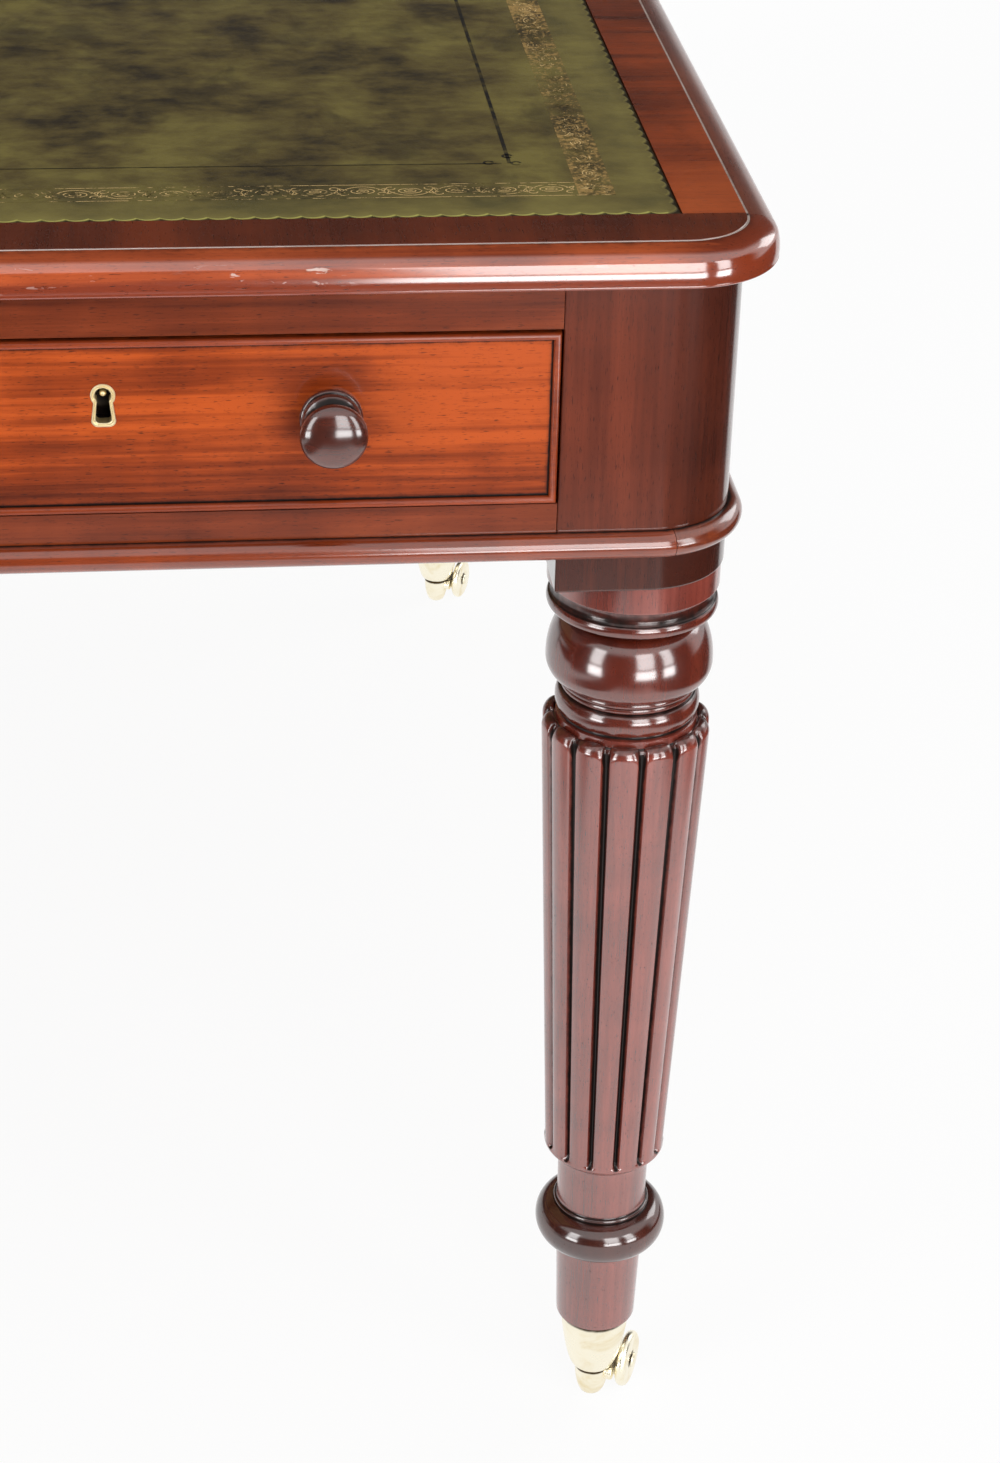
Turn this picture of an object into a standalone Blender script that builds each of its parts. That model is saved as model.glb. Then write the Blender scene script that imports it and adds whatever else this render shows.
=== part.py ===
"""Partners writing table in mahogany, with a leather writing surface, six drawers and reeded legs.

Metres, Z up. The origin is on the floor under the middle of the top. X runs along the table and
the two long sides, each with three drawers, face -Y (front) and +Y (back).
"""
from math import acos, cos, pi, radians, sin, sqrt

import bmesh
import bpy
from mathutils import Vector

# Clearance left between pieces that touch, and how far the stretches of one piece run into each other
FIT = 0.0003
EMBED = 0.003

# Frame
TABLE_HEIGHT = 0.765
FRAME_DEPTH = 1.156
POST_WIDTH = 0.0945
POST_CORNER_R = 0.0455
LEG_INSET = 0.0465
OPENING_W = 0.447
OPENING_H = 0.0935
MUNTIN_W = 0.022
TOP_RAIL_H = 0.0225
BOTTOM_RAIL_H = 0.0305
RAIL_DEPTH = 0.080
APRON_T = 0.024
BLOCK_DROP = 0.020
RUNNER_T = 0.020
RUNNER_LEDGE = 0.022
GUIDE_H = 0.028
STOP_W = 0.040
STOP_D = 0.012
STOP_H = 0.005

# Top
TOP_T = 0.0235
OVERHANG_FRONT = 0.0203
OVERHANG_SIDE = 0.0145
BORDER_FRONT_W = 0.0522
BORDER_SIDE_W = 0.0483
TOP_CORNER_R = 0.0520
EDGE_RUN = 0.0155
QUIRK_W = 0.0010
QUIRK_DROP = 0.0012
LEATHER_T = 0.0016
LEATHER_SINK = 0.0003

# Astragal bead along the foot of the frieze
BEAD_H = 0.0145
BEAD_OUT = 0.0078
BEAD_JOINT_TURN = radians(12.5)

# Drawers
FACE_GAP = 0.0012
FACE_T = 0.022
COCK_BEAD_W = 0.0038
COCK_BEAD_OUT = 0.0030
TRAY_CLEAR = 0.0010
TRAY_HEADROOM = 0.012
TRAY_WALL = 0.010
TRAY_FLOOR_T = 0.006
TRAY_FLOOR_RISE = 0.008
TRAY_GROOVE = 0.004
TRAY_BACK_SPACE = 0.050
KNOB_INSET = 0.112
KNOB_RISE = 0.002
KNOB_R = 0.0167
KNOB_OUT = 0.0288
KNOB_COLLAR_R = 0.0157
KNOB_COLLAR_T = 0.0064
KNOB_NECK_R = 0.0106
KNOB_NECK_L = 0.0074
KNOB_CROWN_R = 0.0060
KNOB_SPIGOT_R = 0.0060
KNOB_SPIGOT_L = 0.0140
KEYHOLE_RISE = 0.0165
KEYHOLE_R = 0.0040
KEYHOLE_WAIST_W = 0.0058
KEYHOLE_FOOT_W = 0.0078
KEYHOLE_DROP = 0.0143
KEYHOLE_DEPTH = 0.0140

# Turned leg, from the block down; the reeded shaft takes up the length that is left
COLLAR_R = 0.0455
COLLAR_H = 0.0150
COVE_R = 0.0425
COVE_H = 0.0077
RING_R = 0.0455
RING_H = 0.0066
BULB_TOP_R = 0.0365
BULB_SHOULDER = radians(68.0)
BULB_R = 0.0452
BULB_UPPER_H = 0.0290
BULB_LOWER_H = 0.0140
NECK_R = 0.0366
NECK_H = 0.0070
TORUS_R = 0.0388
TORUS_H = 0.0160
REEDS = 14
REED_DEPTH = 0.0045
REED_SHOULDER = 0.55
REED_SHOULDER_DROP = 0.0007
REED_TURN = radians(-99.0)
REED_DOME_H = 0.0062
SHAFT_TOP_R = 0.0459
SHAFT_BOTTOM_R = 0.0347
SHAFT_STOP_H = 0.0070
LOWER_NECK_R = 0.0261
LOWER_NECK_H = 0.0330
LIP_R = 0.0278
LIP_H = 0.0035
BUN_R = 0.0382
BUN_H = 0.0240
FOOT_TOP_R = 0.0254
FOOT_BOTTOM_R = 0.0233
FOOT_H = 0.0595

# Castors
CUP_RIM_R = 0.0208
CUP_WAIST_R = 0.0178
CUP_BOWL_H = 0.0185
CUP_BOTTOM_R = 0.0112
CUP_BOWL_CURVE = 0.75
CUP_WALL = 0.0026
CUP_FLOOR_T = 0.0120
CUP_H = 0.0420
HORN_GAP = 0.0009
HORN_H = 0.0216
HORN_R = 0.0104
HORN_MIDDLE_R = 0.0096
HORN_TIP_R = 0.0058
HORN_LIFT = 0.0010
PIVOT_R = 0.0045
PIVOT_L = 0.0090
PIVOT_CLEAR = 0.0003
WHEEL_R = 0.0172
WHEEL_W = 0.0064
WHEEL_ROUND = 0.0018
WHEEL_CLEAR = 0.0008
WHEEL_TRAIL = 0.0165
AXLE_R = 0.0026
AXLE_CLEAR = 0.0003
AXLE_HEAD_R = 0.0046
AXLE_HEAD_CROWN_R = 0.0036
AXLE_HEAD_T = 0.0018
ARM_R = 0.0044
CASTOR_TURN = radians(-26.0)

# How finely round stretches are cut
TURNED_SIDES = 16
KNOB_SIDES = 8
WHEEL_SIDES = 16
CORNER_STEPS = 6
SWELL_STEPS = 3
BUN_STEPS = 5
EDGE_STEPS = 6
DOME_STEPS = 2
SMOOTH_ANGLE = radians(35.0)

# Places that follow from the sizes above
SIDES = {"front": 0.0, "back": pi}
BAYS = ("left", "middle", "right")
LENGTH_HALF = POST_WIDTH + (len(BAYS) * OPENING_W + (len(BAYS) - 1) * MUNTIN_W) / 2
DEPTH_HALF = FRAME_DEPTH / 2
TOP_HALF_X = LENGTH_HALF + OVERHANG_SIDE
TOP_HALF_Y = DEPTH_HALF + OVERHANG_FRONT
TOP_UNDER = TABLE_HEIGHT - TOP_T
FRAME_TOP = TOP_UNDER - FIT
OPENING_TOP = FRAME_TOP - TOP_RAIL_H
OPENING_BOTTOM = OPENING_TOP - OPENING_H
FRAME_BOTTOM = OPENING_BOTTOM - BOTTOM_RAIL_H
BLOCK_BOTTOM = FRAME_BOTTOM - BLOCK_DROP
LEG_X = LENGTH_HALF - LEG_INSET
LEG_Y = DEPTH_HALF - LEG_INSET
CUP_BOTTOM = HORN_LIFT + HORN_H + HORN_GAP
CUP_TOP = CUP_BOTTOM + CUP_H


# Mesh helpers

def mesh_from_rings(name, rings, closed=False):
    """Skin rings of equal point counts into one closed mesh; open ends get flat caps."""
    bm = bmesh.new()
    loops = [[bm.verts.new(point) for point in ring] for ring in rings]
    pairs = list(zip(loops, loops[1:]))
    if closed:
        pairs.append((loops[-1], loops[0]))
    else:
        bm.faces.new(loops[0])
        bm.faces.new(loops[-1])
    for first, second in pairs:
        for i in range(len(first)):
            j = (i + 1) % len(first)
            bm.faces.new((first[i], first[j], second[j], second[i]))
    bmesh.ops.recalc_face_normals(bm, faces=bm.faces)
    mesh = bpy.data.meshes.new(name)
    bm.to_mesh(mesh)
    bm.free()
    return mesh


def circle(radius, height, sides, turn=0.0):
    """A ring of points round Z."""
    angles = [turn + 2 * pi * i / sides for i in range(sides)]
    return [(radius * cos(a), radius * sin(a), height) for a in angles]


def turned(name, profile, sides, closed=False, turn=0.0):
    """A shape turned on Z from a list of (radius, height) points."""
    return mesh_from_rings(name, [circle(r, z, sides, turn) for r, z in profile], closed)


def box(name, low, high):
    """A block between two opposite corners."""
    corners = ((low[0], low[1]), (high[0], low[1]), (high[0], high[1]), (low[0], high[1]))
    return mesh_from_rings(name, [[(x, y, z) for x, y in corners] for z in (low[2], high[2])])


def prism_along_y(name, outline, start, end):
    """An outline of (x, z) points drawn out along Y."""
    return mesh_from_rings(name, [[(x, y, z) for x, z in outline] for y in (start, end)])


def combine(base, tool, operation):
    """Exact union or difference of two meshes."""
    body = bpy.data.objects.new("body", base)
    other = bpy.data.objects.new("tool", tool)
    for item in (body, other):
        bpy.context.collection.objects.link(item)
    modifier = body.modifiers.new("combine", "BOOLEAN")
    modifier.operation = operation
    modifier.solver = "EXACT"
    modifier.object = other
    bpy.context.view_layer.update()
    graph = bpy.context.evaluated_depsgraph_get()
    result = bpy.data.meshes.new_from_object(body.evaluated_get(graph))
    for item in (body, other):
        bpy.data.objects.remove(item)
    return result


def half_round(base_r, crown_r, top, bottom, steps):
    """Profile of a bead that swells from base_r to crown_r and back, going down."""
    middle = (top + bottom) / 2
    half = (top - bottom) / 2
    angles = [pi * i / steps for i in range(steps + 1)]
    return [(base_r + (crown_r - base_r) * sin(a), middle + half * cos(a)) for a in angles]


def swell(inner_r, crown_r, crown_z, end_z, turn):
    """Profile from the crown of a swelling to its end: a stretch of an ellipse, a quarter or less."""
    angles = [turn * i / SWELL_STEPS for i in range(SWELL_STEPS + 1)]
    drop = (crown_r - inner_r) / (1 - cos(angles[-1]))
    reach = (end_z - crown_z) / sin(angles[-1])
    return [(crown_r - drop * (1 - cos(a)), crown_z + reach * sin(a)) for a in angles]


def make_material(name, colour, roughness, metallic=0.0):
    material = bpy.data.materials.new(name)
    material.use_nodes = True
    shader = material.node_tree.nodes["Principled BSDF"]
    shader.inputs["Base Color"].default_value = (*colour, 1.0)
    shader.inputs["Roughness"].default_value = roughness
    shader.inputs["Metallic"].default_value = metallic
    return material


def place(name, mesh, material, location=(0.0, 0.0, 0.0), turn=0.0, parent=None):
    """Put a mesh in the scene under its own name, with its own copy of the material."""
    finish = material.copy()
    finish.name = name + "_finish"
    if mesh.users:
        mesh = mesh.copy()
    mesh.materials.clear()
    mesh.materials.append(finish)
    mesh.shade_smooth()
    mesh.set_sharp_from_angle(angle=SMOOTH_ANGLE)
    item = bpy.data.objects.new(name, mesh)
    item.location = location
    item.rotation_euler = (0.0, 0.0, turn)
    item.parent = parent
    bpy.context.collection.objects.link(item)
    return item


def slide_empty(name, location, turn):
    """An empty on a slide or pivot axis, which carries the pieces that move together."""
    empty = bpy.data.objects.new(name, None)
    empty.location = location
    empty.rotation_euler = (0.0, 0.0, turn)
    bpy.context.collection.objects.link(empty)
    return empty


# Legs

def leg_levels():
    """Heights of the turnings: from the block down to the shaft, and from the foot up to it."""
    collar = BLOCK_BOTTOM - COLLAR_H
    cove = collar - COVE_H
    ring = cove - RING_H
    bulb = ring - BULB_UPPER_H
    neck = bulb - BULB_LOWER_H
    torus = neck - NECK_H
    shaft_top = torus - TORUS_H
    foot = CUP_TOP + FIT + FOOT_H
    bun = foot + BUN_H
    lip = bun + LIP_H
    shaft_bottom = lip + LOWER_NECK_H
    return {"collar": collar, "cove": cove, "ring": ring, "bulb": bulb, "neck": neck, "torus": torus,
            "shaft_top": shaft_top, "foot": foot, "bun": bun, "lip": lip, "shaft_bottom": shaft_bottom}


def upper_turning(at):
    """Collar, cove, ring, bulb, neck rings and torus between the block and the shaft."""
    profile = [(COLLAR_R, BLOCK_BOTTOM + EMBED), (COLLAR_R, at["collar"]), (COVE_R, at["collar"])]
    profile += [(COVE_R, (at["collar"] + at["cove"]) / 2)]
    profile += half_round((COVE_R + RING_R) / 2, RING_R, at["cove"], at["ring"], SWELL_STEPS)
    profile += reversed(swell(BULB_TOP_R, BULB_R, at["bulb"], at["ring"], BULB_SHOULDER))
    profile += swell(NECK_R, BULB_R, at["bulb"], at["neck"], pi / 2)[1:]
    profile += [(NECK_R, at["torus"])]
    profile += half_round(NECK_R, TORUS_R, at["torus"], at["shaft_top"], SWELL_STEPS + 1)[1:]
    profile += [(NECK_R, at["shaft_top"] - EMBED)]
    return turned("upper_turning", profile, TURNED_SIDES)


def lower_turning(at):
    """Neck, lip, bun, foot and the spigot that stands in the castor cup."""
    profile = [(LOWER_NECK_R, at["shaft_bottom"] + EMBED), (LOWER_NECK_R, at["lip"])]
    profile += half_round(LOWER_NECK_R, LIP_R, at["lip"], at["bun"], SWELL_STEPS - 1)[1:]
    profile += half_round(LIP_R, BUN_R, at["bun"], at["foot"], BUN_STEPS)[1:]
    profile += [(FOOT_TOP_R, at["foot"]), (FOOT_BOTTOM_R, CUP_TOP + FIT)]
    cup_floor = CUP_BOTTOM + CUP_FLOOR_T
    profile += [(cup_bore(CUP_TOP) - FIT, CUP_TOP + FIT), (cup_bore(cup_floor) - FIT, cup_floor + FIT)]
    return turned("lower_turning", profile, TURNED_SIDES)


def reeded_ring(radius, depth, height):
    """A ring of rounded reeds: four points for each, from the groove over the crown."""
    shoulder = depth * REED_SHOULDER_DROP / REED_DEPTH
    steps = ((-1.0, depth), (-REED_SHOULDER, shoulder), (0.0, 0.0), (REED_SHOULDER, shoulder))
    pitch = 2 * pi / REEDS
    ring = []
    for reed in range(REEDS):
        for across, fall in steps:
            angle = REED_TURN + pitch * (reed + across / 2)
            ring.append(((radius - fall) * cos(angle), (radius - fall) * sin(angle), height))
    return ring


def reeded_shaft(at):
    """Tapered shaft: reeds domed over at the top, with grooves that stop short of the foot of it."""
    stop = at["shaft_bottom"] + SHAFT_STOP_H
    rings = [reeded_ring(TORUS_R, 0.0, at["shaft_top"])]
    for i in range(1, DOME_STEPS + 1):
        angle = pi / 2 * i / DOME_STEPS
        radius = TORUS_R + (SHAFT_TOP_R - TORUS_R) * sin(angle)
        rings += [reeded_ring(radius, REED_DEPTH, at["shaft_top"] - REED_DOME_H * (1 - cos(angle)))]
    rings += [reeded_ring(SHAFT_BOTTOM_R, REED_DEPTH, stop + SHAFT_STOP_H)]
    rings += [reeded_ring(SHAFT_BOTTOM_R, 0.0, stop)]
    rings += [reeded_ring(LOWER_NECK_R + EMBED, 0.0, at["shaft_bottom"])]
    return mesh_from_rings("reeded_shaft", rings)


def post(at_bottom, at_top):
    """Square post with a rounded outer corner, towards +X and -Y, about the axis of the leg."""
    inner = POST_WIDTH - LEG_INSET
    middle = LEG_INSET - POST_CORNER_R
    outline = [(-inner, -LEG_INSET)]
    for i in range(CORNER_STEPS + 1):
        angle = -pi / 2 + pi / 2 * i / CORNER_STEPS
        outline.append((middle + POST_CORNER_R * cos(angle), -middle + POST_CORNER_R * sin(angle)))
    outline += [(LEG_INSET, inner), (-inner, inner)]
    return mesh_from_rings("post", [[(x, y, z) for x, y in outline] for z in (at_bottom, at_top)])


def build_legs(wood):
    at = leg_levels()
    mesh = combine(post(BLOCK_BOTTOM, FRAME_TOP), upper_turning(at), "UNION")
    mesh = combine(mesh, reeded_shaft(at), "UNION")
    mesh = combine(mesh, lower_turning(at), "UNION")
    for corner, (x, y, turn) in leg_corners().items():
        place("leg_" + corner, mesh, wood, (x, y, 0.0), turn)


def leg_corners():
    """Plan position of each leg and the turn that brings its rounded corner outside."""
    return {
        "front_right": (LEG_X, -LEG_Y, 0.0),
        "back_right": (LEG_X, LEG_Y, pi / 2),
        "back_left": (-LEG_X, LEG_Y, pi),
        "front_left": (-LEG_X, -LEG_Y, -pi / 2),
    }


# Frame between the legs

def build_rails(wood):
    half = LENGTH_HALF - POST_WIDTH - FIT
    back = -DEPTH_HALF + RAIL_DEPTH
    top_rail = box("top_rail", (-half, -DEPTH_HALF, OPENING_TOP), (half, back, FRAME_TOP))
    bottom_rail = box("bottom_rail", (-half, -DEPTH_HALF, FRAME_BOTTOM), (half, back, OPENING_BOTTOM))
    for x in drawer_stops():
        low = (x - STOP_W / 2, -DEPTH_HALF + FACE_T + FIT, OPENING_BOTTOM - EMBED)
        high = (x + STOP_W / 2, low[1] + STOP_D, OPENING_BOTTOM + STOP_H)
        bottom_rail = combine(bottom_rail, box("stop", low, high), "UNION")
    for side, turn in SIDES.items():
        place(side + "_top_rail", top_rail, wood, turn=turn)
        place(side + "_bottom_rail", bottom_rail, wood, turn=turn)


def drawer_stops():
    """Along the bottom rail, two small blocks behind each drawer face."""
    return [x + side * OPENING_W / 4 for x in bay_centres() for side in (-1, 1)]


def bay_centres():
    first = -LENGTH_HALF + POST_WIDTH + OPENING_W / 2
    return [first + i * (OPENING_W + MUNTIN_W) for i in range(len(BAYS))]


def build_aprons(wood):
    end = DEPTH_HALF - POST_WIDTH - FIT
    apron = box("apron", (LENGTH_HALF - APRON_T, -end, FRAME_BOTTOM), (LENGTH_HALF, end, FRAME_TOP))
    place("right_apron", apron, wood)
    place("left_apron", apron, wood, turn=pi)


def build_partitions(wood):
    """Full-depth boards between the drawers, each with a runner along both sides of its foot."""
    half = MUNTIN_W / 2
    ledge = half + RUNNER_LEDGE
    rail_back = DEPTH_HALF - RAIL_DEPTH - FIT
    web = box("web", (-half, -DEPTH_HALF, OPENING_BOTTOM + FIT), (half, DEPTH_HALF, OPENING_TOP - FIT))
    floor = OPENING_BOTTOM - RUNNER_T
    tee = [(-ledge, floor), (ledge, floor), (ledge, OPENING_BOTTOM), (half - FIT, OPENING_BOTTOM)]
    tee += [(half - FIT, OPENING_BOTTOM + EMBED), (FIT - half, OPENING_BOTTOM + EMBED)]
    tee += [(FIT - half, OPENING_BOTTOM), (-ledge, OPENING_BOTTOM)]
    mesh = combine(web, prism_along_y("tee", tee, -rail_back, rail_back), "UNION")
    centres = bay_centres()
    for place_name, x in zip(("left", "right"), centres):
        place(place_name + "_partition", mesh, wood, (x + (OPENING_W + MUNTIN_W) / 2, 0.0, 0.0))


def build_end_runners(wood):
    """Runner and guide for the outer side of the end drawers, fixed to the apron."""
    inside = LENGTH_HALF - POST_WIDTH
    outside = LENGTH_HALF - APRON_T - FIT
    floor = OPENING_BOTTOM - RUNNER_T
    guide_top = OPENING_BOTTOM + GUIDE_H
    outline = [(inside - RUNNER_LEDGE, floor), (outside, floor), (outside, guide_top), (inside, guide_top)]
    outline += [(inside, OPENING_BOTTOM), (inside - RUNNER_LEDGE, OPENING_BOTTOM)]
    end = DEPTH_HALF - max(RAIL_DEPTH, POST_WIDTH) - FIT
    runner = prism_along_y("runner", outline, -end, end)
    place("right_runner", runner, wood)
    place("left_runner", runner, wood, turn=pi)


def bead_section():
    """Half-round section as (distance out from the face, height) points, flat at the back."""
    middle = FRAME_BOTTOM + BEAD_H / 2
    angles = [pi * i / BUN_STEPS for i in range(BUN_STEPS + 1)]
    return [(FIT + (BEAD_OUT - FIT) * sin(a), middle - BEAD_H / 2 * cos(a)) for a in angles]


def bead_run(half_run, half_across):
    """A bead on the -Y face: it starts a little way round the corner at +X and rounds the one at -X."""
    reach = half_run - POST_CORNER_R
    joint_gap = FIT / POST_CORNER_R
    last = -pi + BEAD_JOINT_TURN + joint_gap
    stations = [(reach, -pi / 2 + BEAD_JOINT_TURN), (reach, -pi / 2)]
    for i in range(CORNER_STEPS + 1):
        stations.append((-reach, -pi / 2 + (last + pi / 2) * i / CORNER_STEPS))
    rings = []
    for x, angle in stations:
        way = Vector((cos(angle), sin(angle)))
        centre = Vector((x, -half_across + POST_CORNER_R))
        points = [(centre + way * (POST_CORNER_R + out), z) for out, z in bead_section()]
        rings.append([(spot.x, spot.y, z) for spot, z in points])
    return mesh_from_rings("bead", rings)


def build_beads(wood):
    long_bead = bead_run(LENGTH_HALF, DEPTH_HALF)
    short_bead = bead_run(DEPTH_HALF, LENGTH_HALF)
    place("front_bead", long_bead, wood)
    place("back_bead", long_bead, wood, turn=pi)
    place("right_bead", short_bead, wood, turn=pi / 2)
    place("left_bead", short_bead, wood, turn=-pi / 2)


# Top

def edge_profile():
    """Moulded edge as (inset, height) points: a bullnose, then a quirk below the flat of the top."""
    half = (TOP_T - QUIRK_DROP) / 2
    middle = TOP_UNDER + half
    angles = [-pi / 2 + pi * i / EDGE_STEPS for i in range(EDGE_STEPS + 1)]
    profile = [(EDGE_RUN * (1 - cos(a)), middle + half * sin(a)) for a in angles]
    flat = EDGE_RUN + QUIRK_W
    return profile + [(flat, TABLE_HEIGHT - QUIRK_DROP), (flat, TABLE_HEIGHT)]


def long_border():
    """Front board of the top: straight at the back, moulded round its front edge and both ends."""
    radius = min(TOP_CORNER_R, BORDER_FRONT_W)
    joint = -TOP_HALF_Y + BORDER_FRONT_W
    rings = []
    for inset, height in edge_profile():
        ring = [(TOP_HALF_X - inset, joint, height), (-TOP_HALF_X + inset, joint, height)]
        for side, start in ((-1, pi), (1, 3 * pi / 2)):
            for i in range(CORNER_STEPS + 1):
                angle = start + pi / 2 * i / CORNER_STEPS
                x = side * (TOP_HALF_X - radius) + (radius - inset) * cos(angle)
                ring.append((x, -TOP_HALF_Y + radius + (radius - inset) * sin(angle), height))
        rings.append(ring)
    return mesh_from_rings("long_border", rings)


def short_border():
    """Right-hand board of the top, butted between the long ones."""
    outline = [(TOP_HALF_X - inset, height) for inset, height in edge_profile()]
    outline += [(TOP_HALF_X - BORDER_SIDE_W, TABLE_HEIGHT), (TOP_HALF_X - BORDER_SIDE_W, TOP_UNDER)]
    end = TOP_HALF_Y - BORDER_FRONT_W - FIT
    return prism_along_y("short_border", outline, -end, end)


def build_top(wood, leather):
    long_board = long_border()
    short_board = short_border()
    place("top_border_front", long_board, wood)
    place("top_border_back", long_board, wood, turn=pi)
    place("top_border_right", short_board, wood)
    place("top_border_left", short_board, wood, turn=pi)
    x = TOP_HALF_X - BORDER_SIDE_W - FIT
    y = TOP_HALF_Y - BORDER_FRONT_W - FIT
    skin_low = TABLE_HEIGHT - LEATHER_SINK - LEATHER_T
    panel = box("panel", (-x, -y, TOP_UNDER), (x, y, skin_low - FIT))
    place("top_panel", panel, wood)
    skin = box("skin", (-x, -y, skin_low), (x, y, TABLE_HEIGHT - LEATHER_SINK))
    place("leather_skiver", skin, leather)


# Drawers, modelled at the middle of an opening with the face of the frame at Y = 0

def face_size():
    """Half width, bottom and top of a drawer face in its opening."""
    return OPENING_W / 2 - FACE_GAP, OPENING_BOTTOM + FACE_GAP, OPENING_TOP - FACE_GAP


def drawer_face():
    """Drawer front with a rounded cock bead standing proud round its edges."""
    half, bottom, top = face_size()
    low, high = COCK_BEAD_OUT / 2, COCK_BEAD_OUT
    near, far = COCK_BEAD_W / 4, COCK_BEAD_W * 3 / 4
    steps = [(0.0, FACE_T), (0.0, -low), (near, -high), (far, -high)]
    steps += [(COCK_BEAD_W, -low), (COCK_BEAD_W, 0.0)]
    rings = []
    for inset, y in steps:
        x, foot, head = half - inset, bottom + inset, top - inset
        rings.append([(-x, y, foot), (x, y, foot), (x, y, head), (-x, y, head)])
    mesh = mesh_from_rings("drawer_face", rings)
    bore = KNOB_SPIGOT_R + FIT
    for x, z in knob_places():
        hole = turned("hole", [(bore, -FACE_T), (bore, KNOB_SPIGOT_L + FIT)], KNOB_SIDES)
        mesh = combine(mesh, faced_forward(hole, x, z), "DIFFERENCE")
    return combine(mesh, keyhole(), "DIFFERENCE")


def faced_forward(mesh, x, z):
    """Lay a shape turned on Z so that its +Z end goes into the drawer face at (x, z)."""
    for vertex in mesh.vertices:
        across, up, along = vertex.co
        vertex.co = (x + across, along, z - up)
    return mesh


def knob_places():
    half, bottom, top = face_size()
    height = (bottom + top) / 2 + KNOB_RISE
    return ((KNOB_INSET - half, height), (half - KNOB_INSET, height))


def keyhole():
    """Cutter for the keyhole: a round hole over a slot that widens downwards."""
    bottom, top = face_size()[1:]
    middle = (bottom + top) / 2 + KEYHOLE_RISE
    waist = acos(min(KEYHOLE_WAIST_W / 2 / KEYHOLE_R, 1.0))
    outline = []
    for i in range(KNOB_SIDES + 1):
        angle = -waist + (pi + 2 * waist) * i / KNOB_SIDES
        outline.append((KEYHOLE_R * cos(angle), middle + KEYHOLE_R * sin(angle)))
    outline += [(-KEYHOLE_FOOT_W / 2, middle - KEYHOLE_DROP), (KEYHOLE_FOOT_W / 2, middle - KEYHOLE_DROP)]
    return prism_along_y("keyhole", outline, -FACE_T, KEYHOLE_DEPTH)


def drawer_tray():
    """Sides, back and a raised floor let into grooves; the face closes the open end."""
    half = OPENING_W / 2 - TRAY_CLEAR
    start = FACE_T + FIT
    end = DEPTH_HALF - TRAY_BACK_SPACE
    bottom = OPENING_BOTTOM + FIT
    top = OPENING_TOP - TRAY_HEADROOM
    inside = half - TRAY_WALL
    plan = [(half, start), (half, end), (-half, end), (-half, start), (-inside, start)]
    plan += [(-inside, end - TRAY_WALL), (inside, end - TRAY_WALL), (inside, start)]
    walls = mesh_from_rings("walls", [[(x, y, z) for x, y in plan] for z in (bottom, top)])
    reach = inside + TRAY_GROOVE
    low = (-reach, start + FIT, bottom + TRAY_FLOOR_RISE)
    high = (reach, end - TRAY_WALL + TRAY_GROOVE, low[2] + TRAY_FLOOR_T)
    return combine(walls, box("floor", low, high), "UNION")


def knob():
    """Turned knob: spigot, collar, neck and a flattened head, with +Z into the drawer face."""
    collar_z = -FIT - KNOB_COLLAR_T
    neck_z = collar_z - KNOB_NECK_L
    profile = [(KNOB_SPIGOT_R, KNOB_SPIGOT_L), (KNOB_SPIGOT_R, -FIT), (KNOB_COLLAR_R, -FIT)]
    profile += [(KNOB_COLLAR_R, collar_z), (KNOB_NECK_R, (collar_z + neck_z) / 2), (KNOB_NECK_R, neck_z)]
    head = half_round(KNOB_NECK_R, KNOB_R, neck_z, -KNOB_OUT, BUN_STEPS)
    profile += head[1:-1] + [(KNOB_CROWN_R, -KNOB_OUT)]
    return turned("knob", profile, KNOB_SIDES)


def build_drawers(face_wood, lining_wood, knob_wood):
    face = drawer_face()
    tray = drawer_tray()
    for side, turn in SIDES.items():
        y = -DEPTH_HALF * cos(turn)
        for bay, x in zip(BAYS, bay_centres()):
            name = side + "_" + bay + "_drawer"
            slide = slide_empty(name + "_slide", (x, y, 0.0), turn)
            place(name + "_face", face, face_wood, parent=slide)
            place(name + "_tray", tray, lining_wood, parent=slide)
            for hand, (knob_x, knob_z) in zip(("left", "right"), knob_places()):
                mesh = faced_forward(knob(), 0.0, 0.0)
                place(name + "_knob_" + hand, mesh, knob_wood, (knob_x, 0.0, knob_z), parent=slide)


# Castors

def cup_radius(height):
    """Outside of the cup: a rounded bowl below and a straight taper above."""
    up = height - CUP_BOTTOM
    if up < CUP_BOWL_H:
        return CUP_BOTTOM_R + (CUP_WAIST_R - CUP_BOTTOM_R) * (up / CUP_BOWL_H) ** CUP_BOWL_CURVE
    return CUP_WAIST_R + (CUP_RIM_R - CUP_WAIST_R) * (up - CUP_BOWL_H) / (CUP_H - CUP_BOWL_H)


def cup_bore(height):
    return cup_radius(height) - CUP_WALL


def castor_cup():
    """Tapered brass cup, hollow for the foot, with a hole through its floor for the pivot."""
    hole = PIVOT_R + PIVOT_CLEAR
    floor = CUP_BOTTOM + CUP_FLOOR_T
    outside = [CUP_TOP] + [CUP_BOTTOM + CUP_BOWL_H * i / SWELL_STEPS for i in range(SWELL_STEPS, -1, -1)]
    profile = [(cup_radius(z), z) for z in outside]
    profile += [(hole, CUP_BOTTOM), (hole, floor), (cup_bore(floor), floor), (cup_bore(CUP_TOP), CUP_TOP)]
    return turned("castor_cup", profile, TURNED_SIDES, closed=True)


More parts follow.
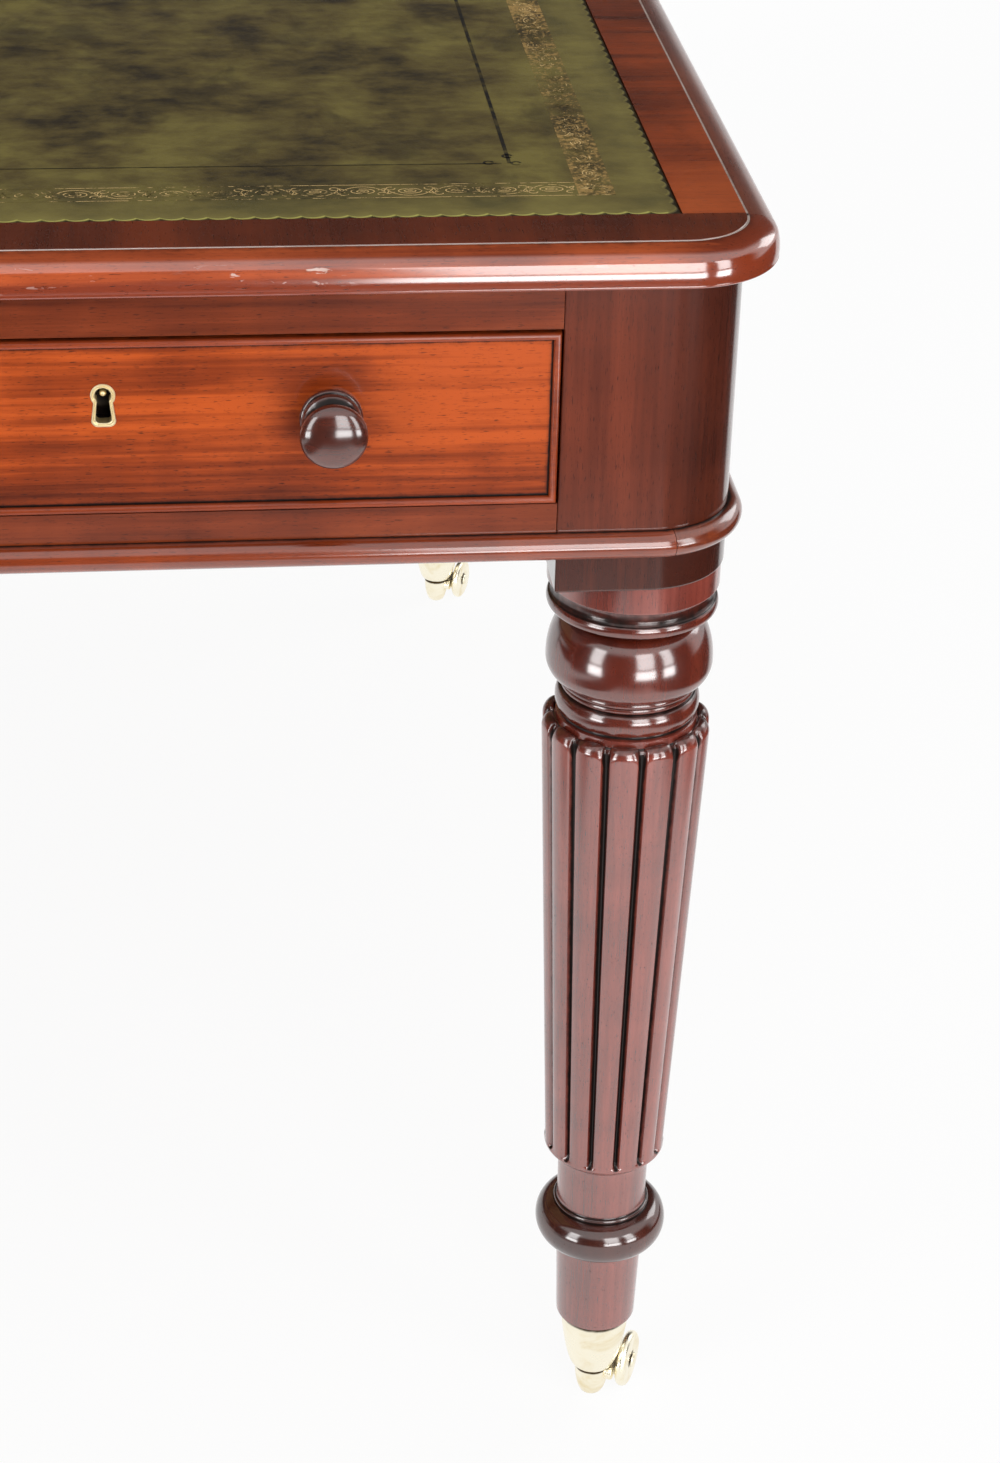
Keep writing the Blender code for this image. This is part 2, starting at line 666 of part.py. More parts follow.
def wheel_centre():
    """In the castor's own frame: X across to the wheel, which just clears the cup, and Y along its trail."""
    reach = HORN_R
    for i in range(WHEEL_SIDES + 1):
        z = CUP_BOTTOM + (2 * WHEEL_R - CUP_BOTTOM) * i / WHEEL_SIDES
        near = max(WHEEL_TRAIL - sqrt(max(WHEEL_R ** 2 - (z - WHEEL_R) ** 2, 0.0)), 0.0)
        reach = max(reach, sqrt(max(cup_radius(max(z, CUP_BOTTOM)) ** 2 - near ** 2, 0.0)))
    return Vector((reach + WHEEL_CLEAR + WHEEL_W / 2, WHEEL_TRAIL, WHEEL_R))


def laid_along_x(mesh, centre):
    """Lay a shape turned on Z along X, about a centre."""
    for vertex in mesh.vertices:
        across, up, along = vertex.co
        vertex.co = centre + Vector((along, across, up))
    return mesh


def castor_horn():
    """Horn: pivot pin, tapered boss, and an arm with the axle and its riveted head."""
    top = CUP_BOTTOM - HORN_GAP
    middle = (top + HORN_LIFT) / 2
    profile = [(PIVOT_R, top + HORN_GAP + PIVOT_L), (PIVOT_R, top), (HORN_R, top)]
    profile += [(HORN_MIDDLE_R, middle), (HORN_TIP_R, HORN_LIFT)]
    mesh = turned("boss", profile, WHEEL_SIDES)
    centre = wheel_centre()
    arm_end = centre.x - WHEEL_W / 2 - FIT * 2
    mesh = combine(mesh, horn_arm(arm_end, centre), "UNION")
    head = centre.x + WHEEL_W / 2 + FIT * 2
    axle = [(AXLE_R, -EMBED), (AXLE_R, head - arm_end), (AXLE_HEAD_R, head - arm_end)]
    axle += [(AXLE_HEAD_CROWN_R, head - arm_end + AXLE_HEAD_T)]
    pin = laid_along_x(turned("axle", axle, KNOB_SIDES), Vector((arm_end, centre.y, centre.z)))
    return combine(mesh, pin, "UNION")


def horn_arm(arm_end, centre):
    """Flat arm with round ends, from the boss to the axle."""
    outline = []
    for y, start in ((centre.y, -pi / 2), (0.0, pi / 2)):
        for i in range(BUN_STEPS + 1):
            angle = start + pi * i / BUN_STEPS
            outline.append((y + ARM_R * cos(angle), centre.z + ARM_R * sin(angle)))
    return mesh_from_rings("arm", [[(x, y, z) for y, z in outline] for x in (0.0, arm_end)])


def castor_wheel():
    """Brass wheel with eased edges, turned on X about its own centre, standing on one of its facets."""
    facet = pi / WHEEL_SIDES
    bore = (AXLE_R + AXLE_CLEAR) / cos(facet)
    rim = WHEEL_R / cos(facet)
    half = WHEEL_W / 2
    profile = [(bore, half), (rim - WHEEL_ROUND, half), (rim, half - WHEEL_ROUND)]
    profile += [(rim, WHEEL_ROUND - half), (rim - WHEEL_ROUND, -half), (bore, -half)]
    wheel = turned("wheel", profile, WHEEL_SIDES, closed=True, turn=facet)
    return laid_along_x(wheel, Vector((0.0, 0.0, 0.0)))


def build_castors(brass):
    cup = castor_cup()
    horn = castor_horn()
    wheel = castor_wheel()
    for corner, (x, y, _) in leg_corners().items():
        place("castor_cup_" + corner, cup, brass, (x, y, 0.0))
        pivot = slide_empty("castor_pivot_" + corner, (x, y, 0.0), CASTOR_TURN)
        place("castor_horn_" + corner, horn, brass, parent=pivot)
        place("castor_wheel_" + corner, wheel, brass, wheel_centre(), parent=pivot)


def main():
    for item in list(bpy.data.objects):
        bpy.data.objects.remove(item)
    frame_wood = make_material("frame_mahogany", (0.16, 0.045, 0.025), 0.22)
    top_wood = make_material("top_mahogany", (0.19, 0.055, 0.027), 0.25)
    face_wood = make_material("drawer_mahogany", (0.36, 0.115, 0.045), 0.25)
    knob_wood = make_material("knob_mahogany", (0.10, 0.028, 0.018), 0.18)
    lining_wood = make_material("drawer_lining", (0.45, 0.27, 0.13), 0.55)
    leather = make_material("green_leather", (0.085, 0.088, 0.022), 0.45)
    brass = make_material("brass", (0.80, 0.62, 0.32), 0.22, metallic=1.0)
    build_legs(frame_wood)
    build_rails(frame_wood)
    build_aprons(frame_wood)
    build_partitions(frame_wood)
    build_end_runners(lining_wood)
    build_beads(frame_wood)
    build_top(top_wood, leather)
    build_drawers(face_wood, lining_wood, knob_wood)
    build_castors(brass)


main()
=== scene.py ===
"""Looks of a mahogany partners writing table: polished turned legs on brass castors, six drawers with
turned knobs and brass keyholes, and a crossbanded top with a tooled green leather."""

from math import acos, cos, pi, radians, sin, sqrt

import bmesh
import bpy
from mathutils import Matrix, Vector


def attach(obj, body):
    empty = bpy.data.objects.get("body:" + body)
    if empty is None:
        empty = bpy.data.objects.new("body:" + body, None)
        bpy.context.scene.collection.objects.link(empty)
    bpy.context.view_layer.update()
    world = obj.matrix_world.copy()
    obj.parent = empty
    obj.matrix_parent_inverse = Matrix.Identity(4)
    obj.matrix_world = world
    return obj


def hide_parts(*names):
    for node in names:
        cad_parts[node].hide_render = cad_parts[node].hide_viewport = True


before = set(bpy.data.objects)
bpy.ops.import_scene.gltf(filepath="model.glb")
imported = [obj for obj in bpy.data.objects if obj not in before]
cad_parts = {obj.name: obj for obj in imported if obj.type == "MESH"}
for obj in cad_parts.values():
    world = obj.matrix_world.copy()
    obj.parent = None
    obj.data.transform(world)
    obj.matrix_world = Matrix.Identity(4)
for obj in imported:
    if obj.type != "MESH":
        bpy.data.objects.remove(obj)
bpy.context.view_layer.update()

# Sizes in metres, as in the solids

FIT = 0.0003
TABLE_HEIGHT = 0.765
LENGTH_HALF = 0.787
DEPTH_HALF = 0.578
POST_WIDTH = 0.0945
POST_CORNER_R = 0.0455
POST_ARRIS_R = 0.0007
LEG_INSET = 0.0465
FRAME_TOP = 0.7412
FRAME_BOTTOM = 0.5947
BLOCK_BOTTOM = 0.5747
OPENING_TOP = 0.7187
OPENING_BOTTOM = 0.6252
OPENING_W = 0.447
BAY_PITCH = 0.469
BAY_CENTRES = {"left": -BAY_PITCH, "middle": 0.0, "right": BAY_PITCH}
SIDES = {"front": 0.0, "back": pi}
LEG_X = LENGTH_HALF - LEG_INSET
LEG_Y = DEPTH_HALF - LEG_INSET
CORNERS = {
    "front_right": (LEG_X, -LEG_Y, 0.0),
    "back_right": (LEG_X, LEG_Y, pi / 2),
    "back_left": (-LEG_X, LEG_Y, pi),
    "front_left": (-LEG_X, -LEG_Y, -pi / 2),
}

# Turned legs

TURNED_SIDES = 96
COLLAR_FOOT = 0.5599
BUN_HEAD, BUN_FOOT = 0.1530, 0.1245
SHAFT_TOP_Z, SHAFT_TOP_R = 0.4790, 0.0459
SHAFT_STOP_Z, SHAFT_BOTTOM_R = 0.1945, 0.0347
DOME_H, DOME_INNER_R = 0.0062, 0.0408
TAB_INNER_R, TAB_SIDE, TAB_CORNER = 0.0392, 0.82, 0.0075
BED_Z, BED_R = 0.4822, 0.0362
REEDS = 14
REED_TURN = radians(-99.0)
REED_DEPTH = 0.0046
REED_FACE = 0.76
REED_CROWN = 0.28
GROOVE_RUNOUT, GROOVE_GRIME_AND_SHADE = 0.0060, 0.9
DOME_STEPS, TAPER_STEPS, RUNOUT_STEPS = 12, 8, 8
BULB_R, BULB_TOP_R, BULB_FOOT_R = 0.0447, 0.0322, 0.0356
BULB_TOP, BULB_CROWN, BULB_FOOT = 0.5398, 0.5138, 0.5026

# Top

TOP_HALF_X, TOP_HALF_Y = 0.8015, 0.5983
TOP_UNDER = 0.7415
EDGE_RUN = 0.0155
EDGE_FACE_DROP = 0.0175
EDGE_BOW_R = 0.0245
EDGE_BOW = (radians(-8.0), radians(17.5))
EDGE_ARRIS_R = 0.0020
EDGE_SHOULDER = (0.0026, 0.0020)
SOFFIT_IN = 0.0125
QUIRK_W, QUIRK_DROP, QUIRK_LIP = 0.0012, 0.0013, 0.0004
BORDER_FRONT_W, BORDER_SIDE_W = 0.0522, 0.0483
TOP_CORNER_R, TOP_CORNER_STEPS = 0.0520, 28
LEATHER_X = TOP_HALF_X - BORDER_SIDE_W - FIT
LEATHER_Y = TOP_HALF_Y - BORDER_FRONT_W - FIT
LEATHER_TOP = 0.7647
LEATHER_T = 0.0016
LINE_LIFT, GROUND_LIFT = 0.00006, 0.00003

# Beads and drawers

BEAD_H, BEAD_OUT = 0.0145, 0.0078
BEAD_JOINT_TURN = radians(12.5)
FACE_GAP, FACE_T = 0.0012, 0.022
COCK_BEAD_W, COCK_BEAD_OUT = 0.0038, 0.0030
FACE_HALF = OPENING_W / 2 - FACE_GAP
FACE_LOW, FACE_HIGH = OPENING_BOTTOM + FACE_GAP, OPENING_TOP - FACE_GAP
KNOB_INSET = 0.112
KNOB_Z = (FACE_LOW + FACE_HIGH) / 2 + 0.002
KEYHOLE_Z = (FACE_LOW + FACE_HIGH) / 2 + 0.0165
KEYHOLE_R, KEYHOLE_WAIST, KEYHOLE_FOOT, KEYHOLE_DROP = 0.0040, 0.0029, 0.0039, 0.0143
KEYHOLE_DEPTH = 0.0138
KNOB_SIDES, PIN_SIDES = 64, 24

# Castors

CASTOR_TURN = radians(-26.0)
WHEEL_CENTRE = Vector((0.017306, 0.0165, 0.0172))
WHEEL_R, WHEEL_W = 0.0172, 0.0064
ARM_R = 0.0044
CUP_SIDES, HORN_SIDES, AXLE_SIDES, WHEEL_SIDES = 64, 48, 32, 72
LAY_ALONG_X = Matrix(((0, 0, 1, 0), (1, 0, 0, 0), (0, 1, 0, 0), (0, 0, 0, 1)))

# Profiles as (radius, height, hollow), unless they say otherwise. Hollow is how dark a ring is drawn in recesses and
# joins: wax and dust with painted shade.

# On the castor, hollow draws painted shade with a little tarnish: a dark ring round the top of the cup under the
# wood, a dark line at the gap above the horn, and darker round the axle and hub.
CUP_PROFILE = ((0.0180, 0.0610, 1.0), (0.0186, 0.0652, 1.0), (0.0194, 0.0655, 1.0), (0.0201, 0.0655, 1.0),
               (0.0206, 0.0652, 1.0), (0.0208, 0.0645, 0.9), (0.0207, 0.0632, 0.6), (0.0203, 0.0620, 0.3),
               (0.0201, 0.0606, 0.0), (0.0196, 0.0550, 0.0), (0.0188, 0.0490, 0.0), (0.0180, 0.0440, 0.0),
               (0.0173, 0.0400, 0.0), (0.0164, 0.0355, 0.0), (0.0153, 0.0312, 0.0), (0.0141, 0.0275, 0.0),
               (0.0128, 0.0248, 0.0), (0.0118, 0.0238, 0.0), (0.0110, 0.0235, 0.4), (0.0060, 0.0235, 1.0))
HORN_PROFILE = ((0.0045, 0.0290, 1.0), (0.0045, 0.0227, 1.0), (0.0096, 0.0226, 1.0), (0.0102, 0.0223, 1.0),
                (0.0104, 0.0216, 0.9), (0.0103, 0.0200, 0.1), (0.0099, 0.0140, 0.0), (0.0092, 0.0095, 0.0),
                (0.0081, 0.0055, 0.0), (0.0068, 0.0027, 0.0), (0.0052, 0.0014, 0.0), (0.0030, 0.0010, 0.0))
AXLE_R, AXLE_START = 0.0026, -0.003
# Head of the axle: radius, out from its seat, hollow
AXLE_HEAD = ((AXLE_R, 0.0, 1.0), (0.0046, 0.0, 0.5), (0.0046, 0.0006, 0.0), (0.0041, 0.0012, 0.0),
             (0.0030, 0.0016, 0.0), (0.0012, 0.0018, 0.0))
# One side of the wheel: radius, in from the side, hollow
WHEEL_SIDE = ((0.0029, 0.0012, 1.0), (0.0050, 0.0012, 0.7), (0.0060, 0.0002, 0.0), (0.0066, 0.0, 0.0),
              (0.0138, 0.0, 0.0), (0.0152, 0.0002, 0.0), (0.0164, 0.0009, 0.0), (0.0171, 0.0021, 0.0))
COLLAR_PROFILE = ((0.0455, BLOCK_BOTTOM + 0.0015, 0.4), (0.0455, BLOCK_BOTTOM - 0.0012, 0.0), (0.0455, 0.5607, 0.0),
                  (0.04535, 0.5602, 0.0), (0.0449, 0.5600, 0.0), (0.0436, 0.5597, 0.25), (0.0427, 0.5588, 0.40),
                  (0.0425, 0.5572, 0.50), (0.0425, 0.5545, 0.62), (0.0429, 0.5531, 0.70), (0.0437, 0.5522, 0.65))
UNDER_RING = ((0.0425, 0.5454, 0.6), (0.0370, 0.5453, 0.7), (0.0326, 0.5450, 0.6), (0.0318, 0.5420, 0.5))
NECK_PROFILE = ((0.0290, 0.1885, 0.3), (0.0272, 0.1866, 0.3), (0.0265, 0.1840, 0.0), (0.0262, 0.1780, 0.0),
                (0.0260, 0.1640, 0.0), (0.0260, 0.1550, 0.0), (0.0262, 0.1534, 0.5), (0.0266, 0.1529, 0.9))
BUN_R, BUN_OUT, BUN_Z, BUN_HALF, BUN_STEPS = 0.0276, 0.0106, 0.1372, 0.0122, 28
FOOT_PROFILE = ((0.0268, 0.1250, 0.7), (0.0265, 0.1246, 0.9), (0.0266, 0.1240, 0.3), (0.0262, 0.1231, 0.0),
                (0.0255, 0.1210, 0.0), (0.0251, 0.1160, 0.0), (0.0246, 0.1040, 0.0), (0.0240, 0.0860, 0.0),
                (0.0236, 0.0720, 0.0), (0.0234, 0.0672, 0.1), (0.0230, 0.0663, 0.6), (0.0190, 0.0659, 1.0))
POST_FOOT = ((0.0011, 0.0), (0.0004, 0.0003), (0.0001, 0.0008), (0.0, 0.0014))      # (inset, rise)
TAB_STEPS = ((-0.0008, 0.0019, 0.3, 0.0), (-0.0002, 0.0021, 0.8, 0.0), (0.0, 0.0012, 0.7, 0.2),
             (0.0005, 0.0004, 0.5, 0.35), (0.0012, 0.0, 0.5, 0.35))               # (out, drop, hollow, corner)
STOP_STEPS = ((SHAFT_BOTTOM_R, 0.1932, 0.0), (SHAFT_BOTTOM_R - 0.0004, 0.1924, 0.0),
              (SHAFT_BOTTOM_R - 0.0014, 0.1912, 0.1), (0.0312, 0.1890, 0.3), (0.0280, 0.1872, 0.4))
KNOB_COLLAR = ((0.0060, -0.0130, 1.0), (0.0060, -0.0002, 1.0), (0.0150, 0.0001, 1.0), (0.0156, 0.0004, 0.4),
               (0.0157, 0.0009, 0.0), (0.0155, 0.0017, 0.0), (0.0149, 0.0022, 0.4), (0.0142, 0.0025, 1.0))
KNOB_NECK = ((0.0132, 0.0070, 0.7), (0.0116, 0.0085, 0.9), (0.0106, 0.0102, 1.0), (0.0106, 0.0120, 1.0),
             (0.0114, 0.0138, 0.9))
KNOB_RING_R, KNOB_RING_OUT, KNOB_RING_AT, KNOB_RING_T = 0.0140, 0.0009, 0.0026, 0.0040
KNOB_HEAD_R, KNOB_HEAD_T, KNOB_HEAD_AT = 0.0167, 0.0070, 0.0218
KNOB_HEAD_SWEEP, KNOB_UNDERSIDE = (radians(-52), radians(141)), 1.12
PIN_PROFILE = ((0.0017, 0.0, 0.5), (0.0017, 0.0100, 0.0), (0.0015, 0.0109, 0.0), (0.0010, 0.0115, 0.0),
               (0.0003, 0.0117, 0.0))
PLATE_STEPS = ((0.0012, 0.0040, 1.0), (0.0021, 0.0002, 0.8), (0.0021, -0.0003, 0.0), (0.0018, -0.0006, 0.0),
               (0.0013, -0.0006, 0.0), (0.0010, -0.0003, 0.35), (0.0007, -0.0006, 0.0), (0.0003, -0.0006, 0.0),
               (0.0, -0.0003, 0.0), (0.0, 0.0040, 0.0), (0.0, 0.0062, 0.2))        # (margin, depth, hollow)
KEYHOLE_MARGIN = 0.0012


# Node helpers

def feed(tree, node, feeds):
    """Set a node's inputs, each to a plain value or to another node's output."""
    for key, value in feeds.items():
        if isinstance(value, bpy.types.NodeSocket):
            tree.links.new(value, node.inputs[key])
        else:
            node.inputs[key].default_value = value


def add(tree, kind, feeds=None, **settings):
    """A node with its own settings, and its inputs fed."""
    node = tree.nodes.new(kind)
    for key, value in settings.items():
        setattr(node, key, value)
    feed(tree, node, feeds or {})
    return node


def maths(tree, operation, *values):
    return add(tree, "ShaderNodeMath", dict(enumerate(values)), operation=operation).outputs[0]


def product(tree, first, second):
    return maths(tree, "MULTIPLY", first, second)


def weighed(tree, first, second, share):
    """Mean of two values, with the first one's share in it."""
    return maths(tree, "ADD", product(tree, first, share), product(tree, second, 1 - share))


def swing(tree, value, reach):
    """A value about one half, as a change about zero."""
    return product(tree, maths(tree, "SUBTRACT", value, 0.5), reach)


def split(tree, vector):
    return add(tree, "ShaderNodeSeparateXYZ", {0: vector}).outputs


def noise(tree, vector, scale, detail=4.0, roughness=0.55, distortion=0.0):
    feeds = {"Vector": vector, "Scale": scale, "Detail": detail, "Roughness": roughness}
    return add(tree, "ShaderNodeTexNoise", feeds | {"Distortion": distortion}).outputs[0]


def stretched(tree, vector, scale, turn=(0.0, 0.0, 0.0), shift=(0.0, 0.0, 0.0)):
    feeds = {"Vector": vector, "Scale": scale, "Rotation": turn, "Location": shift}
    return add(tree, "ShaderNodeMapping", feeds).outputs[0]


def sized(tree, vector, size):
    return add(tree, "ShaderNodeVectorMath", {0: vector, "Scale": size}, operation="SCALE").outputs[0]


def between(tree, value, low, high, to_low=0.0, to_high=1.0):
    feeds = {"Value": value, "From Min": low, "From Max": high, "To Min": to_low, "To Max": to_high}
    return add(tree, "ShaderNodeMapRange", feeds, interpolation_type="SMOOTHSTEP").outputs[0]


def mixed(tree, factor, first, second):
    feeds = {0: factor}
    for place, colour in ((6, first), (7, second)):
        feeds[place] = colour if isinstance(colour, bpy.types.NodeSocket) else (*colour, 1.0)
    return add(tree, "ShaderNodeMix", feeds, data_type="RGBA").outputs[2]


def ramp(tree, value, stops):
    node = add(tree, "ShaderNodeValToRGB", {"Fac": value})
    points = node.color_ramp.elements
    while len(points) < len(stops):
        points.new(0.5)
    for point, (place, colour) in zip(points, stops):
        point.position = place
        point.color = (*colour, 1.0)
    return node.outputs[0]


def bump(tree, height, strength, distance, under=None):
    feeds = {"Height": height, "Strength": strength, "Distance": distance}
    if under is not None:
        feeds["Normal"] = under
    return add(tree, "ShaderNodeBump", feeds).outputs[0]


def mark(tree, label):
    """A mark that the mesh carries at its points."""
    return add(tree, "ShaderNodeAttribute", attribute_name=label).outputs["Fac"]


def effect(name, inputs, outputs, kind="Float"):
    """A shader node group for an effect that several finishes share: its tree, inputs and output node."""
    tree = bpy.data.node_groups.new(name, "ShaderNodeTree")
    for label, default in inputs.items():
        form = "Float" if isinstance(default, float) else "Vector"
        socket = tree.interface.new_socket(name=label, in_out="INPUT", socket_type="NodeSocket" + form)
        socket.default_value = default
    for label in outputs:
        tree.interface.new_socket(name=label, in_out="OUTPUT", socket_type="NodeSocket" + kind)
    return tree, tree.nodes.new("NodeGroupInput").outputs, tree.nodes.new("NodeGroupOutput")


def use(tree, group, feeds):
    return add(tree, "ShaderNodeGroup", feeds, node_tree=group).outputs


# Effects that several finishes share

ORIGIN = (0.0, 0.0, 0.0)
LEATHER_DEEP, LEATHER_MIDDLE, LEATHER_PALE = (0.030, 0.021, 0.010), (0.098, 0.071, 0.021), (0.182, 0.147, 0.038)
LEAF_CONTRAST = 0.30
SHADE_LABELS = ("Foot Low", "Foot High", "Foot Dark", "End Near", "End Far", "End Dark")


def make_figure():
    """Mahogany figure with the grain along X: broad bands, fine streaks, cross ripple and open pores."""
    tree, given, out = effect("mahogany figure", {"Board": ORIGIN, "Bands": 1.0, "Pore Size": 1.0},
                              ("Tone", "Streak", "Pores"))
    board = given["Board"]
    broad = noise(tree, sized(tree, stretched(tree, board, (1.1, 13.0, 13.0)), given["Bands"]), 1.6, 5.0, 0.55, 0.9)
    ripple = noise(tree, stretched(tree, board, (26.0, 9.0, 9.0)), 1.0, 2.0, 0.5, 0.4)
    streak = noise(tree, stretched(tree, board, (7.0, 300.0, 300.0)), 1.0, 4.0, 0.62, 0.3)
    pore_at = sized(tree, stretched(tree, board, (190.0, 2100.0, 2100.0)), given["Pore Size"])
    pore = noise(tree, pore_at, 1.0, 2.0, 0.5)
    feed(tree, out, {"Tone": weighed(tree, broad, ripple, 0.72), "Streak": streak,
                     "Pores": between(tree, pore, 0.60, 0.72)})
    return tree


def make_polish():
    """Old French polish: soft smears, dust pits and faint rubbing marks."""
    tree, given, out = effect("old polish", {"Place": ORIGIN}, ("Smear", "Pits", "Waves"))
    place = given["Place"]
    pits = noise(tree, place, 900.0, 2.0, 0.5)
    feed(tree, out, {"Smear": noise(tree, place, 14.0, 5.0, 0.62, 0.6), "Pits": between(tree, pits, 0.66, 0.74),
                     "Waves": noise(tree, place, 55.0, 2.0, 0.45)})
    return tree


def make_grime_and_shade():
    """Wax and dust held in hollows, and painted shade there: the share is marked on the mesh, and broken up here."""
    tree, given, out = effect("grime in hollows", {"Place": ORIGIN, "Hollow": 0.0}, ("Mask",))
    breakup = noise(tree, given["Place"], 160.0, 4.0, 0.65)
    edge = maths(tree, "ADD", given["Hollow"], swing(tree, breakup, 0.7))
    feed(tree, out, {"Mask": product(tree, between(tree, edge, 0.18, 0.85),
                                     between(tree, given["Hollow"], 0.02, 0.2))})
    return tree


def make_wear():
    """Nicks and rubs that show pale wood on edges marked as worn."""
    tree, given, out = effect("nicks on edges", {"Place": ORIGIN, "Worn": 0.0}, ("Mask",))
    nick = noise(tree, stretched(tree, given["Place"], (80.0, 80.0, 380.0)), 1.0, 3.0, 0.6, 0.5)
    patch = noise(tree, given["Place"], 9.0, 2.0, 0.5)
    share = product(tree, between(tree, nick, 0.62, 0.66), between(tree, patch, 0.50, 0.62))
    feed(tree, out, {"Mask": product(tree, share, given["Worn"])})
    return tree


def make_leaves():
    """Crossbanded veneer cut leaf by leaf: each leaf along the band has a tone of its own."""
    tree, given, out = effect("veneer leaves", {"Along": 0.0, "Length": 1.0, "First": 0.0}, ("Tone",))
    count = maths(tree, "DIVIDE", maths(tree, "ADD", given["Along"], given["First"]), given["Length"])
    feeds = {"W": maths(tree, "FLOOR", count)}
    pick = add(tree, "ShaderNodeTexWhiteNoise", feeds, noise_dimensions="1D").outputs[0]
    feed(tree, out, {"Tone": swing(tree, pick, LEAF_CONTRAST)})
    return tree


def make_shade():
    """Painted shade: wood drawn darker down to its foot and out to the ends of the table."""
    sizes = dict.fromkeys(SHADE_LABELS, 0.0)
    tree, given, out = effect("dark foot and ends", {"Place": ORIGIN} | sizes, ("Tone",))
    where = split(tree, given["Place"])
    dark = [product(tree, given[label], -1.0) for label in ("Foot Dark", "End Dark")]
    foot = between(tree, where["Z"], given["Foot Low"], given["Foot High"], dark[0], 0.0)
    off = maths(tree, "ABSOLUTE", where["X"])
    ends = between(tree, off, given["End Near"], given["End Far"], 0.0, dark[1])
    feed(tree, out, {"Tone": maths(tree, "ADD", foot, ends)})
    return tree


def make_mottle():
    """Olive leather, rubbed and mottled along the length of the table, with dark blotches."""
    tree, given, out = effect("mottled leather", {"Place": ORIGIN}, ("Colour",), "Color")
    place = given["Place"]
    cloud = noise(tree, stretched(tree, place, (15.0, 12.0, 1.0)), 1.0, 5.0, 0.60, 0.2)
    brush = noise(tree, stretched(tree, place, (42.0, 85.0, 1.0)), 1.0, 5.0, 0.66, 0.2)
    blotch = noise(tree, stretched(tree, place, (25.0, 17.0, 1.0), shift=(3.1, 7.7, 0.0)), 1.0, 4.0, 0.58, 0.3)
    colour = ramp(tree, weighed(tree, cloud, brush, 0.68),
                  ((0.38, LEATHER_DEEP), (0.48, LEATHER_MIDDLE), (0.62, LEATHER_PALE)))
    feed(tree, out, {"Colour": mixed(tree, between(tree, blotch, 0.52, 0.68, 0.0, 0.50), colour, LEATHER_DEEP)})
    return tree


FIGURE = make_figure()
POLISH = make_polish()
GRIME_AND_SHADE = make_grime_and_shade()
WEAR = make_wear()
LEAVES = make_leaves()
SHADE = make_shade()
MOTTLE = make_mottle()

# Finishes

GRAIN_TURN = {"X": (0.0, 0.0, 0.0), "Y": (0.0, 0.0, -pi / 2), "Z": (0.0, pi / 2, 0.0)}
# Near-black for the pores, the dust pits, and the wax, dust and painted shade in hollows.
NEAR_BLACK = (0.010, 0.006, 0.005)
RUBBED_COLOUR = (0.62, 0.46, 0.40)
BRASS_GRIME_AND_SHADE = (0.055, 0.032, 0.012)
LOBE_PALE_AND_LIT, LOBE_HIGHLIGHT, LOBE_SHADOW = (0.285, 0.245, 0.070), (0.46, 0.44, 0.11), (0.018, 0.014, 0.008)
BLIND_DARK = (0.010, 0.008, 0.006)
SMEAR_SPAN = (0.3, 0.75)
POLISHED_ROUGH = (0.30, 0.45)
WOOD_SPECULAR, LEATHER_SPECULAR = 0.08, 0.2
KNOB_HALO_RISE = 0.006


def new_finish(name):
    """A material with its Principled shader, its tree and the piece's own coordinates."""
    material = bpy.data.materials.new(name)
    material.use_nodes = True
    tree = material.node_tree
    place = add(tree, "ShaderNodeTexCoord").outputs["Object"]
    return material, tree, tree.nodes["Principled BSDF"], place


def front_light_shade_and_grime(tree, place):
    """Painted light and shade over a drawer front: lighter to the right and toward the head, a painted shade along
    the foot, and darker round the knobs, partly worn dark by hands and partly a painted shadow.
    """
    where = split(tree, place)
    across = maths(tree, "WRAP", where["X"], BAY_PITCH / 2, -BAY_PITCH / 2)
    off_x = maths(tree, "SUBTRACT", maths(tree, "ABSOLUTE", across), FACE_HALF - KNOB_INSET)
    off_z = maths(tree, "SUBTRACT", where["Z"], KNOB_Z + KNOB_HALO_RISE)
    far = maths(tree, "SQRT", maths(tree, "ADD", product(tree, off_x, off_x),
                                    product(tree, off_z, off_z)))
    clear = between(tree, far, 0.012, 0.038, -0.16, 0.0)
    foot = between(tree, where["Z"], FACE_LOW, FACE_LOW + 0.045)
    pale = product(tree, product(tree, between(tree, across, 0.03, 0.19), foot), 0.17)
    low = between(tree, where["Z"], FACE_LOW, FACE_LOW + 0.024, -0.12, 0.0)
    head = between(tree, where["Z"], FACE_HIGH - 0.075, FACE_HIGH - 0.030, 0.0, 0.10)
    return maths(tree, "ADD", maths(tree, "ADD", clear, pale), maths(tree, "ADD", low, head))


